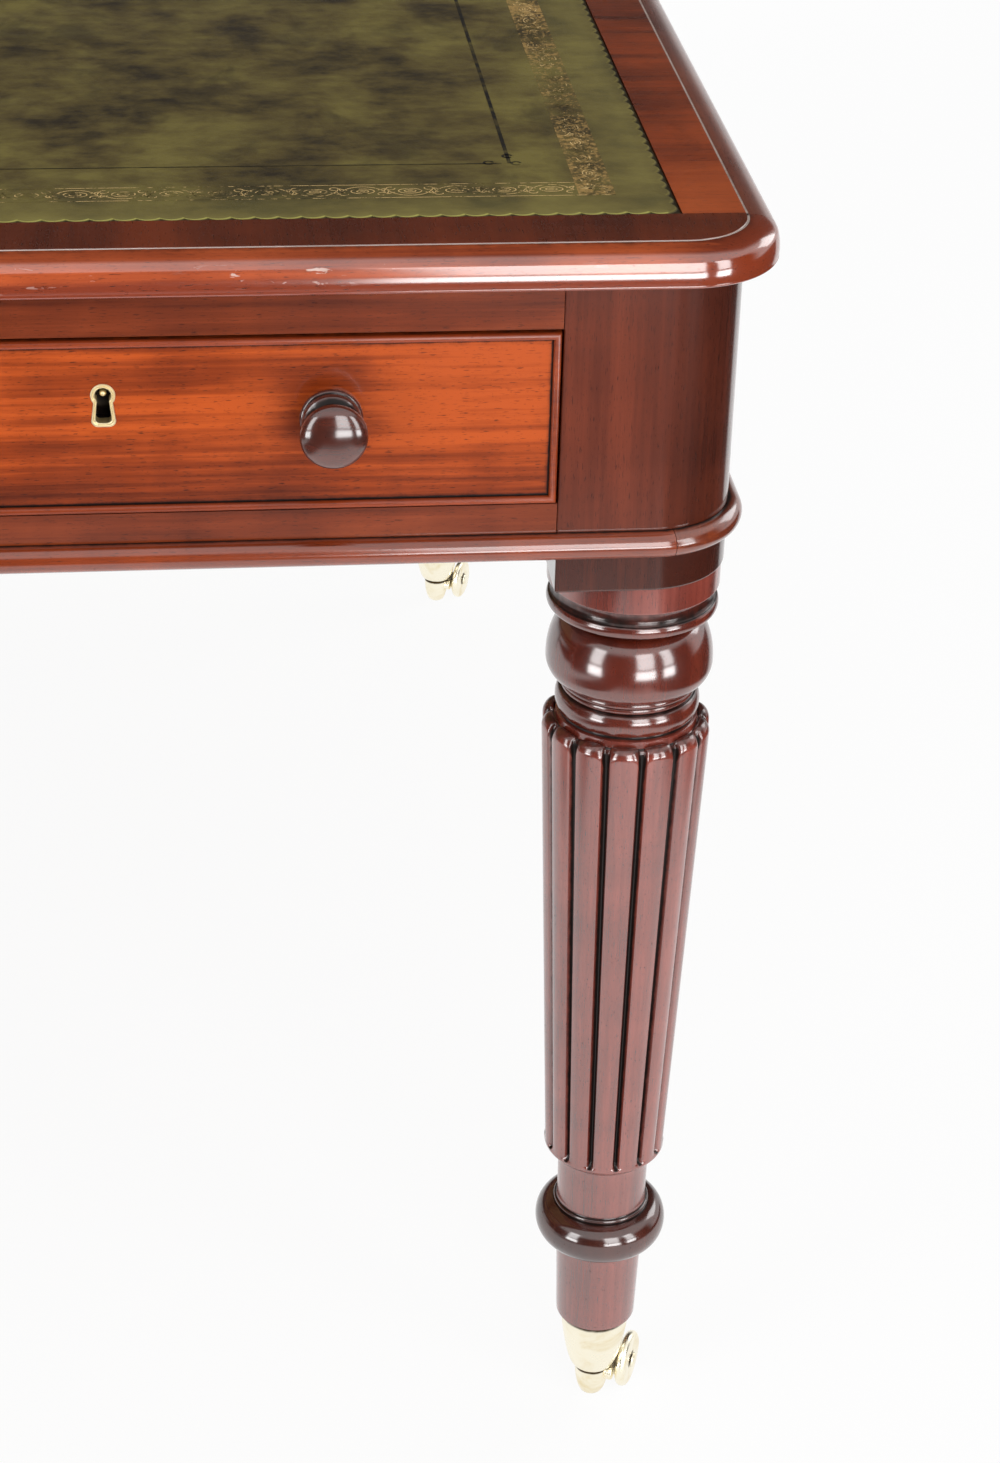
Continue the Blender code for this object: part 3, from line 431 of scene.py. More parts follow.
def mahogany(name, grain, deep, middle, light, bands=1.0, streaks=0.42, pore_dark=0.6, coat_rough=0.12,
             coat_ior=1.9, pits=0.35, leaves=None, front_toning=False, shade=None):
    """French-polished mahogany in three tones. Leaves gives the axis, length and start of crossbanded veneer,
    and shade the heights and distances of painted shade at the foot and ends, in the order of SHADE_LABELS."""
    material, tree, shader, place = new_finish(name)
    board = stretched(tree, place, (1.0, 1.0, 1.0), GRAIN_TURN[grain])
    figure = use(tree, FIGURE, {"Board": board, "Bands": bands, "Pore Size": 1.0})
    polish = use(tree, POLISH, {"Place": place})
    changes = [swing(tree, figure["Streak"], streaks)]
    if leaves:
        axis, length, first = leaves
        feeds = {"Along": split(tree, place)[axis], "Length": length, "First": first}
        changes.append(use(tree, LEAVES, feeds)["Tone"])
    if front_toning:
        changes.append(front_light_shade_and_grime(tree, place))
    if shade:
        changes.append(use(tree, SHADE, {"Place": place} | dict(zip(SHADE_LABELS, shade)))["Tone"])
    tone = figure["Tone"]
    for change in changes:
        tone = maths(tree, "ADD", tone, change)
    # Wax and dust with painted shade in hollows: darker colour and less gloss there.
    grime_and_shade = use(tree, GRIME_AND_SHADE, {"Place": place, "Hollow": mark(tree, "hollow")})["Mask"]
    rubbed = use(tree, WEAR, {"Place": place, "Worn": mark(tree, "worn")})["Mask"]
    colour = ramp(tree, tone, ((0.28, deep), (0.50, middle), (0.72, light)))
    for share, over in ((product(tree, figure["Pores"], pore_dark), NEAR_BLACK),
                        (between(tree, polish["Smear"], 0.54, 0.80, 0.0, 0.40), deep),
                        (product(tree, polish["Pits"], pits), NEAR_BLACK),
                        (grime_and_shade, NEAR_BLACK), (rubbed, RUBBED_COLOUR)):
        colour = mixed(tree, share, colour, over)
    clean = maths(tree, "SUBTRACT", 1.0, product(tree, grime_and_shade, 0.85))
    gloss = product(tree, clean, between(tree, polish["Pits"], 0.0, 1.0, 1.0, 0.4))
    open_grain = bump(tree, figure["Pores"], 0.10, -0.0002)
    feed(tree, shader, {"Base Color": colour, "Coat Weight": gloss, "Coat Roughness": coat_rough,
                        "Roughness": between(tree, polish["Smear"], *SMEAR_SPAN, *POLISHED_ROUGH),
                        "Normal": bump(tree, polish["Waves"], 0.06, 0.0006, open_grain),
                        "Coat IOR": coat_ior, "Specular IOR Level": WOOD_SPECULAR})
    return material


def plain_wood(name, grain, deep, middle, light):
    """Unpolished wood, dry and slightly dusty."""
    material, tree, shader, place = new_finish(name)
    board = stretched(tree, place, (1.0, 1.0, 1.0), GRAIN_TURN[grain])
    figure = use(tree, FIGURE, {"Board": board, "Bands": 1.6, "Pore Size": 0.8})
    polish = use(tree, POLISH, {"Place": place})
    tone = maths(tree, "ADD", figure["Tone"], swing(tree, figure["Streak"], 0.5))
    colour = ramp(tree, tone, ((0.28, deep), (0.5, middle), (0.74, light)))
    colour = mixed(tree, product(tree, figure["Pores"], 0.5), colour, deep)
    feed(tree, shader, {"Base Color": colour, "Roughness": between(tree, polish["Smear"], 0.3, 0.7, 0.5, 0.68),
                        "Normal": bump(tree, figure["Streak"], 0.2, 0.0003)})
    return material


def brass(name, bright, tarnish, spread, rough):
    """Polished brass with a little tarnish in patches, and tarnish with painted shade in its hollows."""
    material, tree, shader, place = new_finish(name)
    polish = use(tree, POLISH, {"Place": stretched(tree, place, (3.0, 3.0, 3.0))})
    grime_and_shade = use(tree, GRIME_AND_SHADE, {"Place": place, "Hollow": mark(tree, "hollow")})["Mask"]
    colour = mixed(tree, between(tree, polish["Smear"], *spread), bright, tarnish)
    feed(tree, shader, {"Base Color": mixed(tree, grime_and_shade, colour, BRASS_GRIME_AND_SHADE), "Metallic": 1.0,
                        "Roughness": between(tree, polish["Smear"], *SMEAR_SPAN, *rough),
                        "Normal": bump(tree, polish["Waves"], 0.05, 0.0005)})
    return material


def green_leather():
    """Grained leather, paler along its scalloped edge with a painted highlight on the lobes there, and a painted
    shadow in the tooled line there.
    """
    material, tree, shader, place = new_finish("tooled_green_leather")
    lobe = mark(tree, "lobe")
    colour = mixed(tree, lobe, use(tree, MOTTLE, {"Place": place})["Colour"], LOBE_PALE_AND_LIT)
    colour = mixed(tree, between(tree, lobe, 0.55, 1.0, 0.0, 0.85), colour, LOBE_HIGHLIGHT)
    colour = mixed(tree, product(tree, mark(tree, "hollow"), 0.85), colour, LOBE_SHADOW)
    grain = add(tree, "ShaderNodeTexVoronoi", {"Vector": place, "Scale": 700.0}).outputs["Distance"]
    polish = use(tree, POLISH, {"Place": place})
    creases = bump(tree, noise(tree, place, 60.0, 4.0, 0.6), 0.12, 0.0006)
    feed(tree, shader, {"Base Color": colour, "Roughness": between(tree, polish["Smear"], *SMEAR_SPAN, 0.38, 0.55),
                        "Normal": bump(tree, grain, 0.16, 0.0002, creases), "Specular IOR Level": LEATHER_SPECULAR})
    return material


def gilding(name, wear, gold, fine):
    """Gold leaf in the tooling, rubbed back to the leather in places."""
    material, tree, shader, place = new_finish(name)
    rub = noise(tree, place, fine, 5.0, 0.7)
    left = between(tree, weighed(tree, rub, noise(tree, place, 16.0, 3.0, 0.5), 0.6), *wear)
    feed(tree, shader, {"Base Color": mixed(tree, left, use(tree, MOTTLE, {"Place": place})["Colour"], gold),
                        "Metallic": product(tree, left, 0.25),
                        "Roughness": between(tree, rub, 0.3, 0.7, 0.42, 0.55),
                        "Specular IOR Level": LEATHER_SPECULAR})
    return material


def blind_tooling():
    """Darkened line pressed into the leather without gold."""
    material, tree, shader, place = new_finish("blind_tooling")
    rub = noise(tree, place, 90.0, 4.0, 0.65)
    bare = between(tree, rub, 0.42, 0.68, 0.0, 0.55)
    feed(tree, shader, {"Base Color": mixed(tree, bare, BLIND_DARK, use(tree, MOTTLE, {"Place": place})["Colour"]),
                        "Roughness": between(tree, rub, 0.3, 0.7, 0.4, 0.6), "Specular IOR Level": LEATHER_SPECULAR})
    return material


# Lit and shaded copies of one turned mahogany: the reeds are drawn lighter where the floor lights them, and the bun
# darker as painted shade.
TURNED_WOOD = mahogany("turned_mahogany", "Z", (0.046, 0.006, 0.003), (0.104, 0.014, 0.006),
                       (0.170, 0.026, 0.011), bands=1.3, streaks=0.2, coat_rough=0.15, coat_ior=2.1)
REED_WOOD = mahogany("reed_mahogany", "Z", (0.080, 0.012, 0.007), (0.178, 0.029, 0.017), (0.280, 0.054, 0.034),
                     bands=1.3, pore_dark=0.45, coat_rough=0.17, coat_ior=2.3, pits=0.8)
BUN_WOOD = mahogany("bun_mahogany", "Z", (0.020, 0.004, 0.003), (0.046, 0.010, 0.006), (0.085, 0.018, 0.010),
                    bands=1.3, streaks=0.2, coat_rough=0.13, coat_ior=1.95)
# The posts are painted darker below the bead and toward the ends of the table: painted shade.
POST_WOOD = mahogany("post_mahogany", "Z", (0.048, 0.009, 0.004), (0.108, 0.020, 0.008), (0.180, 0.034, 0.013),
                     bands=0.9, streaks=0.3, coat_rough=0.11, coat_ior=1.75,
                     shade=(BLOCK_BOTTOM + 0.022, BLOCK_BOTTOM + 0.032, 0.22, LEG_X - 0.012, LEG_X + 0.036, 0.20))
RAIL_X = mahogany("rail_mahogany", "X", (0.060, 0.010, 0.003), (0.150, 0.025, 0.006), (0.250, 0.046, 0.011),
                  bands=1.8, coat_ior=1.75)
RAIL_Y = mahogany("end_rail_mahogany", "Y", (0.075, 0.011, 0.003), (0.158, 0.024, 0.006), (0.250, 0.042, 0.010))
BEAD_X = mahogany("bead_mahogany", "X", (0.100, 0.013, 0.003), (0.225, 0.034, 0.006), (0.350, 0.060, 0.012),
                  coat_rough=0.13)
COCK_BEAD = mahogany("cock_bead_mahogany", "X", (0.110, 0.014, 0.003), (0.235, 0.034, 0.005),
                     (0.360, 0.060, 0.010), coat_rough=0.20, coat_ior=1.5)
BEAD_Y = mahogany("end_bead_mahogany", "Y", (0.070, 0.011, 0.004), (0.150, 0.026, 0.008), (0.240, 0.046, 0.012),
                  coat_rough=0.15)
FACE_WOOD = mahogany("drawer_mahogany", "X", (0.072, 0.010, 0.002), (0.210, 0.030, 0.004), (0.420, 0.068, 0.008),
                     bands=1.5, streaks=0.65, pore_dark=0.75, coat_rough=0.13, coat_ior=1.6, front_toning=True)
CROSSBAND_Y = mahogany("crossband_mahogany", "Y", (0.029, 0.005, 0.003), (0.090, 0.014, 0.003),
                       (0.195, 0.031, 0.006), bands=0.8, streaks=0.2, leaves=("X", 0.21, 0.05))
CROSSBAND_X = mahogany("end_crossband_mahogany", "X", (0.060, 0.009, 0.003), (0.310, 0.050, 0.009),
                       (0.510, 0.098, 0.020), bands=1.4, streaks=0.2, leaves=("Y", 0.23, 3.0))
# The front moulding is painted darker at its foot, as a painted dark reflection, and toward its ends, as painted
# shade; the end moulding is a darker copy of the same wood, as painted shade.
EDGE_X = mahogany("moulding_mahogany", "X", (0.205, 0.030, 0.008), (0.430, 0.077, 0.019), (0.590, 0.122, 0.033),
                  coat_rough=0.12, coat_ior=2.2, shade=(TABLE_HEIGHT - 0.0180, TABLE_HEIGHT - 0.0090, 0.50,
                                                        TOP_HALF_X - 0.070, TOP_HALF_X - 0.020, 0.45))
EDGE_Y = mahogany("end_moulding_mahogany", "Y", (0.075, 0.013, 0.005), (0.150, 0.028, 0.009),
                  (0.230, 0.048, 0.015), coat_rough=0.16)
KNOB_WOOD = mahogany("knob_mahogany", "X", (0.034, 0.007, 0.004), (0.078, 0.016, 0.009), (0.125, 0.030, 0.016),
                     bands=2.0, coat_rough=0.15, coat_ior=1.9)
# Pale wax in the quirk, drawn pale enough to stand for the light its wall catches: partly a painted highlight.
QUIRK_WAX_AND_HIGHLIGHT = plain_wood("pale_wax_and_highlight", "X", (0.34, 0.27, 0.24), (0.54, 0.46, 0.42), (0.68, 0.61, 0.57))
LINING = plain_wood("drawer_lining", "Y", (0.24, 0.125, 0.050), (0.40, 0.235, 0.105), (0.52, 0.335, 0.170))
CARCASE = plain_wood("carcase_wood", "Y", (0.15, 0.070, 0.030), (0.26, 0.135, 0.060), (0.36, 0.205, 0.100))
CASTOR_BRASS = brass("castor_brass", (0.97, 0.91, 0.74), (0.80, 0.66, 0.38), (0.45, 0.80), (0.26, 0.38))
KEYHOLE_BRASS = brass("keyhole_brass", (0.94, 0.80, 0.50), (0.76, 0.58, 0.30), (0.45, 0.85), (0.40, 0.52))
LEATHER = green_leather()
GILDING = gilding("worn_gilding", (0.46, 0.54), (0.78, 0.54, 0.23), 220.0)
GOLD_GROUND = gilding("rubbed_gold_ground", (0.43, 0.58), (0.44, 0.275, 0.090), 330.0)
BLIND = blind_tooling()


# Shapes

class Shape:
    """Points and faces of a piece while it is made, with a finish for each face and marks for each point."""

    def __init__(self):
        self.points, self.faces, self.finish = [], [], []
        self.marks = {"hollow": [], "lobe": [], "worn": []}

    def put(self, points, faces, finish=0, **marks):
        start = len(self.points)
        self.points += [Vector(point) for point in points]
        self.faces += [tuple(start + i for i in face) for face in faces]
        self.finish += list(finish) if hasattr(finish, "__len__") else [finish] * len(faces)
        for label, values in self.marks.items():
            values += marks.get(label) or [0.0] * len(points)

    def rings(self, rings, finish=0, hollow=None, caps=(True, True), looped=False, **marks):
        """Closed loops of equal length, skinned one to the next."""
        size = len(rings[0])
        faces, finishes = [], []
        last = len(rings) if looped else len(rings) - 1
        for i in range(last):
            nxt = (i + 1) % len(rings)
            for j in range(size):
                k = (j + 1) % size
                faces.append((i * size + j, i * size + k, nxt * size + k, nxt * size + j))
                finishes.append(finish[i] if hasattr(finish, "__len__") else finish)
        for wanted, ring in zip(caps, (0, len(rings) - 1)):
            if wanted and not looped:
                faces.append(tuple(range(ring * size, (ring + 1) * size)))
                finishes.append(finish[ring - 1 if ring else 0] if hasattr(finish, "__len__") else finish)
        flat = [point for ring in rings for point in ring]
        self.put(flat, faces, finishes, hollow=hollow, **marks)

    def turned(self, profile, sides=TURNED_SIDES, finish=0):
        """A profile of (radius, height, hollow) turned about Z."""
        rings, hollow = [], []
        for radius, height, mark in profile:
            rings.append([(radius * cos(2 * pi * i / sides), radius * sin(2 * pi * i / sides), height)
                          for i in range(sides)])
            hollow += [mark] * sides
        self.rings(rings, finish, hollow)

    def moved(self, matrix, start=0):
        self.points[start:] = [matrix @ point for point in self.points[start:]]
        return self


def in_scene(name, data):
    item = bpy.data.objects.new(name, data)
    bpy.context.collection.objects.link(item)
    return item


def make_piece(name, shape, finishes, body, nodes=(), sharp=radians(40.0), outward=True):
    """Put a shape in the scene as a piece that rides on a body and stands for its CAD nodes."""
    mesh = bpy.data.meshes.new(name)
    mesh.from_pydata(shape.points, [], shape.faces)
    for finish in finishes:
        mesh.materials.append(finish)
    mesh.polygons.foreach_set("material_index", shape.finish)
    for label, values in shape.marks.items():
        if any(values):
            mesh.attributes.new(label, "FLOAT", "POINT").data.foreach_set("value", values)
    if outward:
        work = bmesh.new()
        work.from_mesh(mesh)
        bmesh.ops.recalc_face_normals(work, faces=work.faces)
        work.to_mesh(mesh)
        work.free()
    mesh.shade_smooth()
    mesh.set_sharp_from_angle(angle=sharp)
    item = in_scene(name, mesh)
    item.modifiers.new("flat_faces_stay_flat", "WEIGHTED_NORMAL").keep_sharp = True
    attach(item, body)
    if nodes:
        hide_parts(*nodes)
    return item


def turn_about_z(angle, place=(0.0, 0.0, 0.0)):
    return Matrix.Translation(place) @ Matrix.Rotation(angle, 4, "Z")


def half_round(base, crown, top, bottom, steps, marks=(0.0, 0.0, 0.0)):
    """Bead on a turned profile, going down; marks are the hollows at its top, crown and foot."""
    points = []
    for i in range(steps + 1):
        angle = pi * i / steps
        near = marks[0] if angle < pi / 2 else marks[2]
        mark = marks[1] + (near - marks[1]) * abs(cos(angle)) ** 3
        height = (top + bottom) / 2 + (top - bottom) / 2 * cos(angle)
        points.append((base + (crown - base) * sin(angle), height, mark))
    return points


def swell(end_r, end_z, steps):
    """Profile from the crown of the bulb to its end, along a quarter of an ellipse."""
    angles = [pi / 2 * i / steps for i in range(steps + 1)]
    return [(end_r + (BULB_R - end_r) * cos(angle), BULB_CROWN + (end_z - BULB_CROWN) * sin(angle), 0.0)
            for angle in angles]


def rounded_outline(corners):
    """Plan outline through (x, y, radius, steps) corners, anticlockwise."""
    outline = []
    count = len(corners)
    for i, (x, y, radius, steps) in enumerate(corners):
        here = Vector((x, y))
        before = (Vector(corners[i - 1][:2]) - here).normalized()
        after = (Vector(corners[(i + 1) % count][:2]) - here).normalized()
        centre = here + (before + after) * radius
        for k in range(steps + 1):
            angle = pi / 2 * k / steps
            outline.append(centre - after * radius * cos(angle) - before * radius * sin(angle))
    return outline


# Legs

def post_rings():
    """Square post with its outer corner rounded and its foot eased."""
    inner = POST_WIDTH - LEG_INSET
    rings = []
    for inset, z in [(inset, BLOCK_BOTTOM + rise) for inset, rise in POST_FOOT] + [(0.0, FRAME_TOP)]:
        low, high = -inner + inset, LEG_INSET - inset
        corners = ((low, -high, POST_ARRIS_R, 3), (high, -high, POST_CORNER_R, 28), (high, -low, POST_ARRIS_R, 3),
                   (low, -low, POST_ARRIS_R, 3))
        rings.append([(p.x, p.y, z) for p in rounded_outline(corners)])
    return rings


def upper_turning():
    """Collar, cove, ring, bulb, neck rings and torus below the block."""
    profile = list(COLLAR_PROFILE)
    profile += half_round(0.0440, 0.0455, 0.5520, 0.5456, 14, (0.8, 0.0, 0.5))
    profile += UNDER_RING
    profile += reversed(swell(BULB_TOP_R, BULB_TOP, 30))
    profile += swell(BULB_FOOT_R, BULB_FOOT, 18)[1:]
    profile += [(0.0361, 0.5025, 0.9)]
    profile += half_round(0.0360, 0.0369, 0.5023, 0.4993, 8, (0.8, 0.0, 0.8))
    profile += [(0.0354, 0.4991, 1.0)]
    profile += half_round(0.0353, 0.0361, 0.4989, 0.4959, 8, (0.8, 0.0, 0.8))
    profile += [(0.0356, 0.4957, 1.0)]
    profile += half_round(0.0359, 0.0389, 0.4955, 0.4826, 18, (0.7, 0.0, 0.6))
    return profile + [(0.0364, 0.4822, 0.8), (0.0364, 0.4780, 0.8)]


def lower_turning():
    """Neck, lip, bun and foot above the castor."""
    profile = list(NECK_PROFILE)
    profile += half_round(0.0268, 0.0279, 0.1527, 0.1503, 8, (0.7, 0.0, 0.9))
    profile += [(0.0270, 0.1500, 1.0), (0.0275, 0.1496, 0.8)]
    for i in range(1, BUN_STEPS):
        angle = pi * i / BUN_STEPS
        profile.append((BUN_R + BUN_OUT * sin(angle) ** 0.85, BUN_Z + BUN_HALF * cos(angle), 0.0))
    profile += FOOT_PROFILE
    return profile


REED_HALF = (1.0, 0.96, 0.91, 0.86, 0.81, 0.77, 0.74, 0.68, 0.58, 0.46, 0.32, 0.16)
REED_STATIONS = tuple(-off for off in REED_HALF) + (0.0,) + tuple(reversed(REED_HALF[1:]))


def reed_fall(across):
    """Share of the groove's depth at a place across a reed: a gently rounded face, then a narrow channel."""
    off = abs(across)
    if off <= REED_FACE:
        return REED_CROWN * (off / REED_FACE) ** 2
    down = (off - REED_FACE) / (1 - REED_FACE)
    return REED_CROWN + (1 - REED_CROWN) * sin(pi / 2 * down) ** 0.75


def tab_fall(across):
    """Fall of a reed's rounded end toward its sides, as a share of the corner's height."""
    off = min(1.0, abs(across) / TAB_SIDE)
    return 1 - (1 - off ** 3) ** (1 / 3)


def shaft_rings():
    """Reeded shaft: rings of points with their hollows, from the rounded tabs down to the plain stop."""
    rings, hollow = [], []

    # Hollow darkens each groove by its depth and keeps the groove ends dark: wax and dust with painted shade.
    def ring(radius, depth, z, mark, corner=0.0, sunk_dark=0.0):
        points = []
        for reed in range(REEDS):
            for across in REED_STATIONS:
                fall = reed_fall(across)
                angle = REED_TURN + 2 * pi / REEDS * (reed + across / 2)
                out = radius - depth * fall
                points.append((out * cos(angle), out * sin(angle), z - TAB_CORNER * corner * tab_fall(across)))
                sunk = max(0.0, (fall - REED_CROWN) / (1 - REED_CROWN))
                hollow.append(min(1.0, mark + sunk * max(1.15 * depth / REED_DEPTH, sunk_dark)))
        rings.append(points)

    ring(BED_R - 0.002, 0.0, BED_Z, 0.8)
    ring(BED_R + 0.0018, 0.0, BED_Z - 0.0016, 0.3)
    for step, drop, mark, corner in TAB_STEPS:
        ring(TAB_INNER_R + step, 0.0, SHAFT_TOP_Z - drop, mark, corner)
    # The tops of the rounded reed ends are drawn dark, as a painted reflection of the dark room and painted shade,
    # with some dust.
    for i in range(DOME_STEPS + 1):
        angle = pi / 2 * i / DOME_STEPS
        spread = DOME_INNER_R + (SHAFT_TOP_R - DOME_INNER_R) * sin(angle)
        depth = max(0.0, spread - SHAFT_TOP_R + REED_DEPTH)
        ring(spread, depth, SHAFT_TOP_Z - DOME_H * (1 - cos(angle)), 0.6 * cos(angle) ** 0.6,
             0.35 + 0.65 * sin(angle) ** 0.8)
    top = SHAFT_TOP_Z - DOME_H
    foot = SHAFT_STOP_Z + GROOVE_RUNOUT
    for i in range(1, TAPER_STEPS + 1):
        z = top + (foot - top) * i / TAPER_STEPS
        ring(taper(z), REED_DEPTH, z, 0.0)
    for i in range(1, RUNOUT_STEPS + 1):
        z = foot - GROOVE_RUNOUT * i / RUNOUT_STEPS
        depth = REED_DEPTH * sqrt(max(0.0, 1 - (i / RUNOUT_STEPS) ** 2))
        ring(taper(z), depth, z, 0.0, sunk_dark=GROOVE_GRIME_AND_SHADE)
    for radius, z, mark in STOP_STEPS:
        ring(radius, 0.0, z, mark)
    return rings, hollow


def taper(z):
    """Radius over the reeds at a height on the shaft."""
    top = SHAFT_TOP_Z - DOME_H
    return SHAFT_BOTTOM_R + (SHAFT_TOP_R - SHAFT_BOTTOM_R) * (z - SHAFT_STOP_Z) / (top - SHAFT_STOP_Z)


def make_legs():
    for corner, (x, y, turn) in CORNERS.items():
        at = turn_about_z(turn, (x, y, 0.0))
        post = Shape()
        post.rings(post_rings())
        make_piece("post_" + corner, post.moved(at), [POST_WOOD], "frame", ["leg_" + corner])
        leg = Shape()
        upper = upper_turning()
        leg.turned(upper, finish=[1 if height > COLLAR_FOOT else 0 for _, height, _ in upper])
        rings, hollow = shaft_rings()
        leg.rings(rings, 1, hollow)
        lower = lower_turning()
        leg.turned(lower, finish=[2 if BUN_FOOT < height < BUN_HEAD else 1 for _, height, _ in lower])
        make_piece("turned_leg_" + corner, leg.moved(at), [TURNED_WOOD, REED_WOOD, BUN_WOOD], "frame",
                   ["leg_" + corner], sharp=radians(55.0))


# Castors

def make_castors():
    for corner, (x, y, _) in CORNERS.items():
        cup = Shape()
        cup.turned(CUP_PROFILE, CUP_SIDES)
        at = turn_about_z(CASTOR_TURN, (x, y, 0.0))
        wheel_body = "castor_wheel_" + corner + "_body"
        for kind, shape, body in (("cup_", cup.moved(Matrix.Translation((x, y, 0.0))), "frame"),
                                  ("horn_", horn_shape().moved(at), "castor_" + corner),
                                  ("wheel_", wheel_shape().moved(at), wheel_body)):
            make_piece(kind + corner, shape, [CASTOR_BRASS], body, ["castor_" + kind + corner])


def horn_shape():
    """Boss below the cup, the arm out to the wheel, and the axle with its riveted head."""
    shape = Shape()
    shape.turned(HORN_PROFILE, HORN_SIDES)
    arm_end = WHEEL_CENTRE.x - WHEEL_W / 2 - 2 * FIT
    rings = []
    for shrink, x in ((0.0, 0.0), (0.0, arm_end - 0.0008), (0.0003, arm_end - 0.0002), (0.0010, arm_end)):
        ring = []
        for y, start in ((WHEEL_CENTRE.y, -pi / 2), (0.0, pi / 2)):
            for i in range(13):
                angle = start + pi * i / 12
                radius = ARM_R - shrink
                ring.append((x, y + radius * cos(angle), WHEEL_CENTRE.z + radius * sin(angle)))
        rings.append(ring)
    shape.rings(rings)
    start = len(shape.points)
    head = WHEEL_W + 4 * FIT
    axle = [(AXLE_R, AXLE_START, 0.0)] + [(radius, head + out, mark) for radius, out, mark in AXLE_HEAD]
    shape.turned(axle, AXLE_SIDES)
    shape.moved(Matrix.Translation((arm_end, WHEEL_CENTRE.y, WHEEL_CENTRE.z)) @ LAY_ALONG_X, start)
    return shape


def wheel_shape():
    half = WHEEL_W / 2
    profile = [(radius, half - inset, mark) for radius, inset, mark in WHEEL_SIDE] + [(WHEEL_R, 0.0, 0.0)]
    profile += [(radius, inset - half, mark) for radius, inset, mark in reversed(WHEEL_SIDE)]
    shape = Shape()
    shape.turned(profile, WHEEL_SIDES)
    return shape.moved(Matrix.Translation(WHEEL_CENTRE) @ LAY_ALONG_X)


# Top

def edge_profile():
    """Moulded edge from the soffit to the top, as (inset, height, hollow, worn, finish of the strip above it)."""
    low, high = EDGE_BOW
    foot = TABLE_HEIGHT - EDGE_FACE_DROP
    crown = foot - EDGE_BOW_R * sin(low)
    arris = []
    for i in range(8):
        angle = -pi / 2 + (low + pi / 2) * i / 8
        arris.append((EDGE_ARRIS_R * (cos(low) - cos(angle)), foot + EDGE_ARRIS_R * (sin(angle) - sin(low))))
    face = []
    for i in range(13):
        angle = low + (high - low) * i / 12
        face.append((EDGE_BOW_R * (1 - cos(angle)), crown + EDGE_BOW_R * sin(angle)))
    crest = (EDGE_RUN, TABLE_HEIGHT - QUIRK_LIP)
    bend = (EDGE_SHOULDER[0], TABLE_HEIGHT - EDGE_SHOULDER[1])
    shoulder = []
    for i in range(1, 19):
        t = i / 18
        shoulder.append(tuple((1 - t) ** 2 * a + 2 * t * (1 - t) * b + t * t * c
                              for a, b, c in zip(face[-1], bend, crest)))
    profile = [(SOFFIT_IN, TOP_UNDER, 0.0, 0.0, 0), (SOFFIT_IN, arris[0][1], 0.0, 0.0, 0)]
    profile += [(u, z, 0.0, 0.0, 0) for u, z in arris]
    profile += [(u, z, 0.0, i / 12, 0) for i, (u, z) in enumerate(face)]
    # Hollow rises toward the quirk: a painted shadow under its lip.
    profile += [(u, z, max(0.0, (i - 11) / 12), max(0.0, 1 - i / 5), 0) for i, (u, z) in enumerate(shoulder)]
    flat = EDGE_RUN + QUIRK_W
    bed = TABLE_HEIGHT - QUIRK_DROP
    # The quirk's walls take the pale wax finish, which is partly a painted highlight.
    quirk = ((EDGE_RUN + 0.0001, crest[1] - 0.0001, 2), (EDGE_RUN + 0.0002, bed, 2), (flat - 0.0001, bed, 2),
             (flat, TABLE_HEIGHT - 0.0003, 1), (flat + 0.0003, TABLE_HEIGHT, 1))
    return profile + [(u, z, 0.0, 0.0, finish) for u, z, finish in quirk]


def long_border(edge):
    """Front board of the top: straight at the back, moulded round its front edge and both ends."""
    joint = -TOP_HALF_Y + BORDER_FRONT_W
    shape = Shape()
    rings, hollow, worn = [], [], []
    for inset, height, sunk, rubbed, _ in edge:
        ring = [(TOP_HALF_X - inset, joint, height), (-TOP_HALF_X + inset, joint, height)]
        for side, start in ((-1, pi), (1, 3 * pi / 2)):
            for i in range(TOP_CORNER_STEPS + 1):
                angle = start + pi / 2 * i / TOP_CORNER_STEPS
                ring.append((side * (TOP_HALF_X - TOP_CORNER_R) + (TOP_CORNER_R - inset) * cos(angle),
                             -TOP_HALF_Y + TOP_CORNER_R + (TOP_CORNER_R - inset) * sin(angle), height))
        rings.append(ring)
        hollow += [sunk] * len(ring)
        worn += [rubbed] * len(ring)
    shape.rings(rings, [finish for *_, finish in edge], hollow, worn=worn)
    return shape


def short_border(edge):
    """Right-hand board of the top, butted between the long ones."""
    outline = [(TOP_HALF_X - inset, height) for inset, height, *_ in edge]
    outline += [(TOP_HALF_X - BORDER_SIDE_W, TABLE_HEIGHT), (TOP_HALF_X - BORDER_SIDE_W, TOP_UNDER)]
    end = TOP_HALF_Y - BORDER_FRONT_W - FIT
    size = len(outline)
    points = [(x, y, z) for y in (-end, end) for x, z in outline]
    faces = [(j, (j + 1) % size, size + (j + 1) % size, size + j) for j in range(size)]
    finish = [finish for *_, finish in edge] + [0, 0]
    worn = [rubbed for *_, rubbed, _ in edge] + [0.0, 0.0]
    faces += [tuple(range(size)), tuple(range(size, 2 * size))]
    shape = Shape()
    shape.put(points, faces, finish + [0, 0], worn=worn * 2)
    return shape


def make_borders():
    edge = edge_profile()
    long_wood, short_wood = [EDGE_X, CROSSBAND_Y, QUIRK_WAX_AND_HIGHLIGHT], [EDGE_Y, CROSSBAND_X, QUIRK_WAX_AND_HIGHLIGHT]
    for name, board, turn, wood in (("front", long_border, 0.0, long_wood), ("back", long_border, pi, long_wood),
                                    ("right", short_border, 0.0, short_wood), ("left", short_border, pi, short_wood)):
        make_piece("crossbanded_edge_" + name, board(edge).moved(turn_about_z(turn)), wood, "frame",
                   ["top_border_" + name], sharp=radians(50.0))


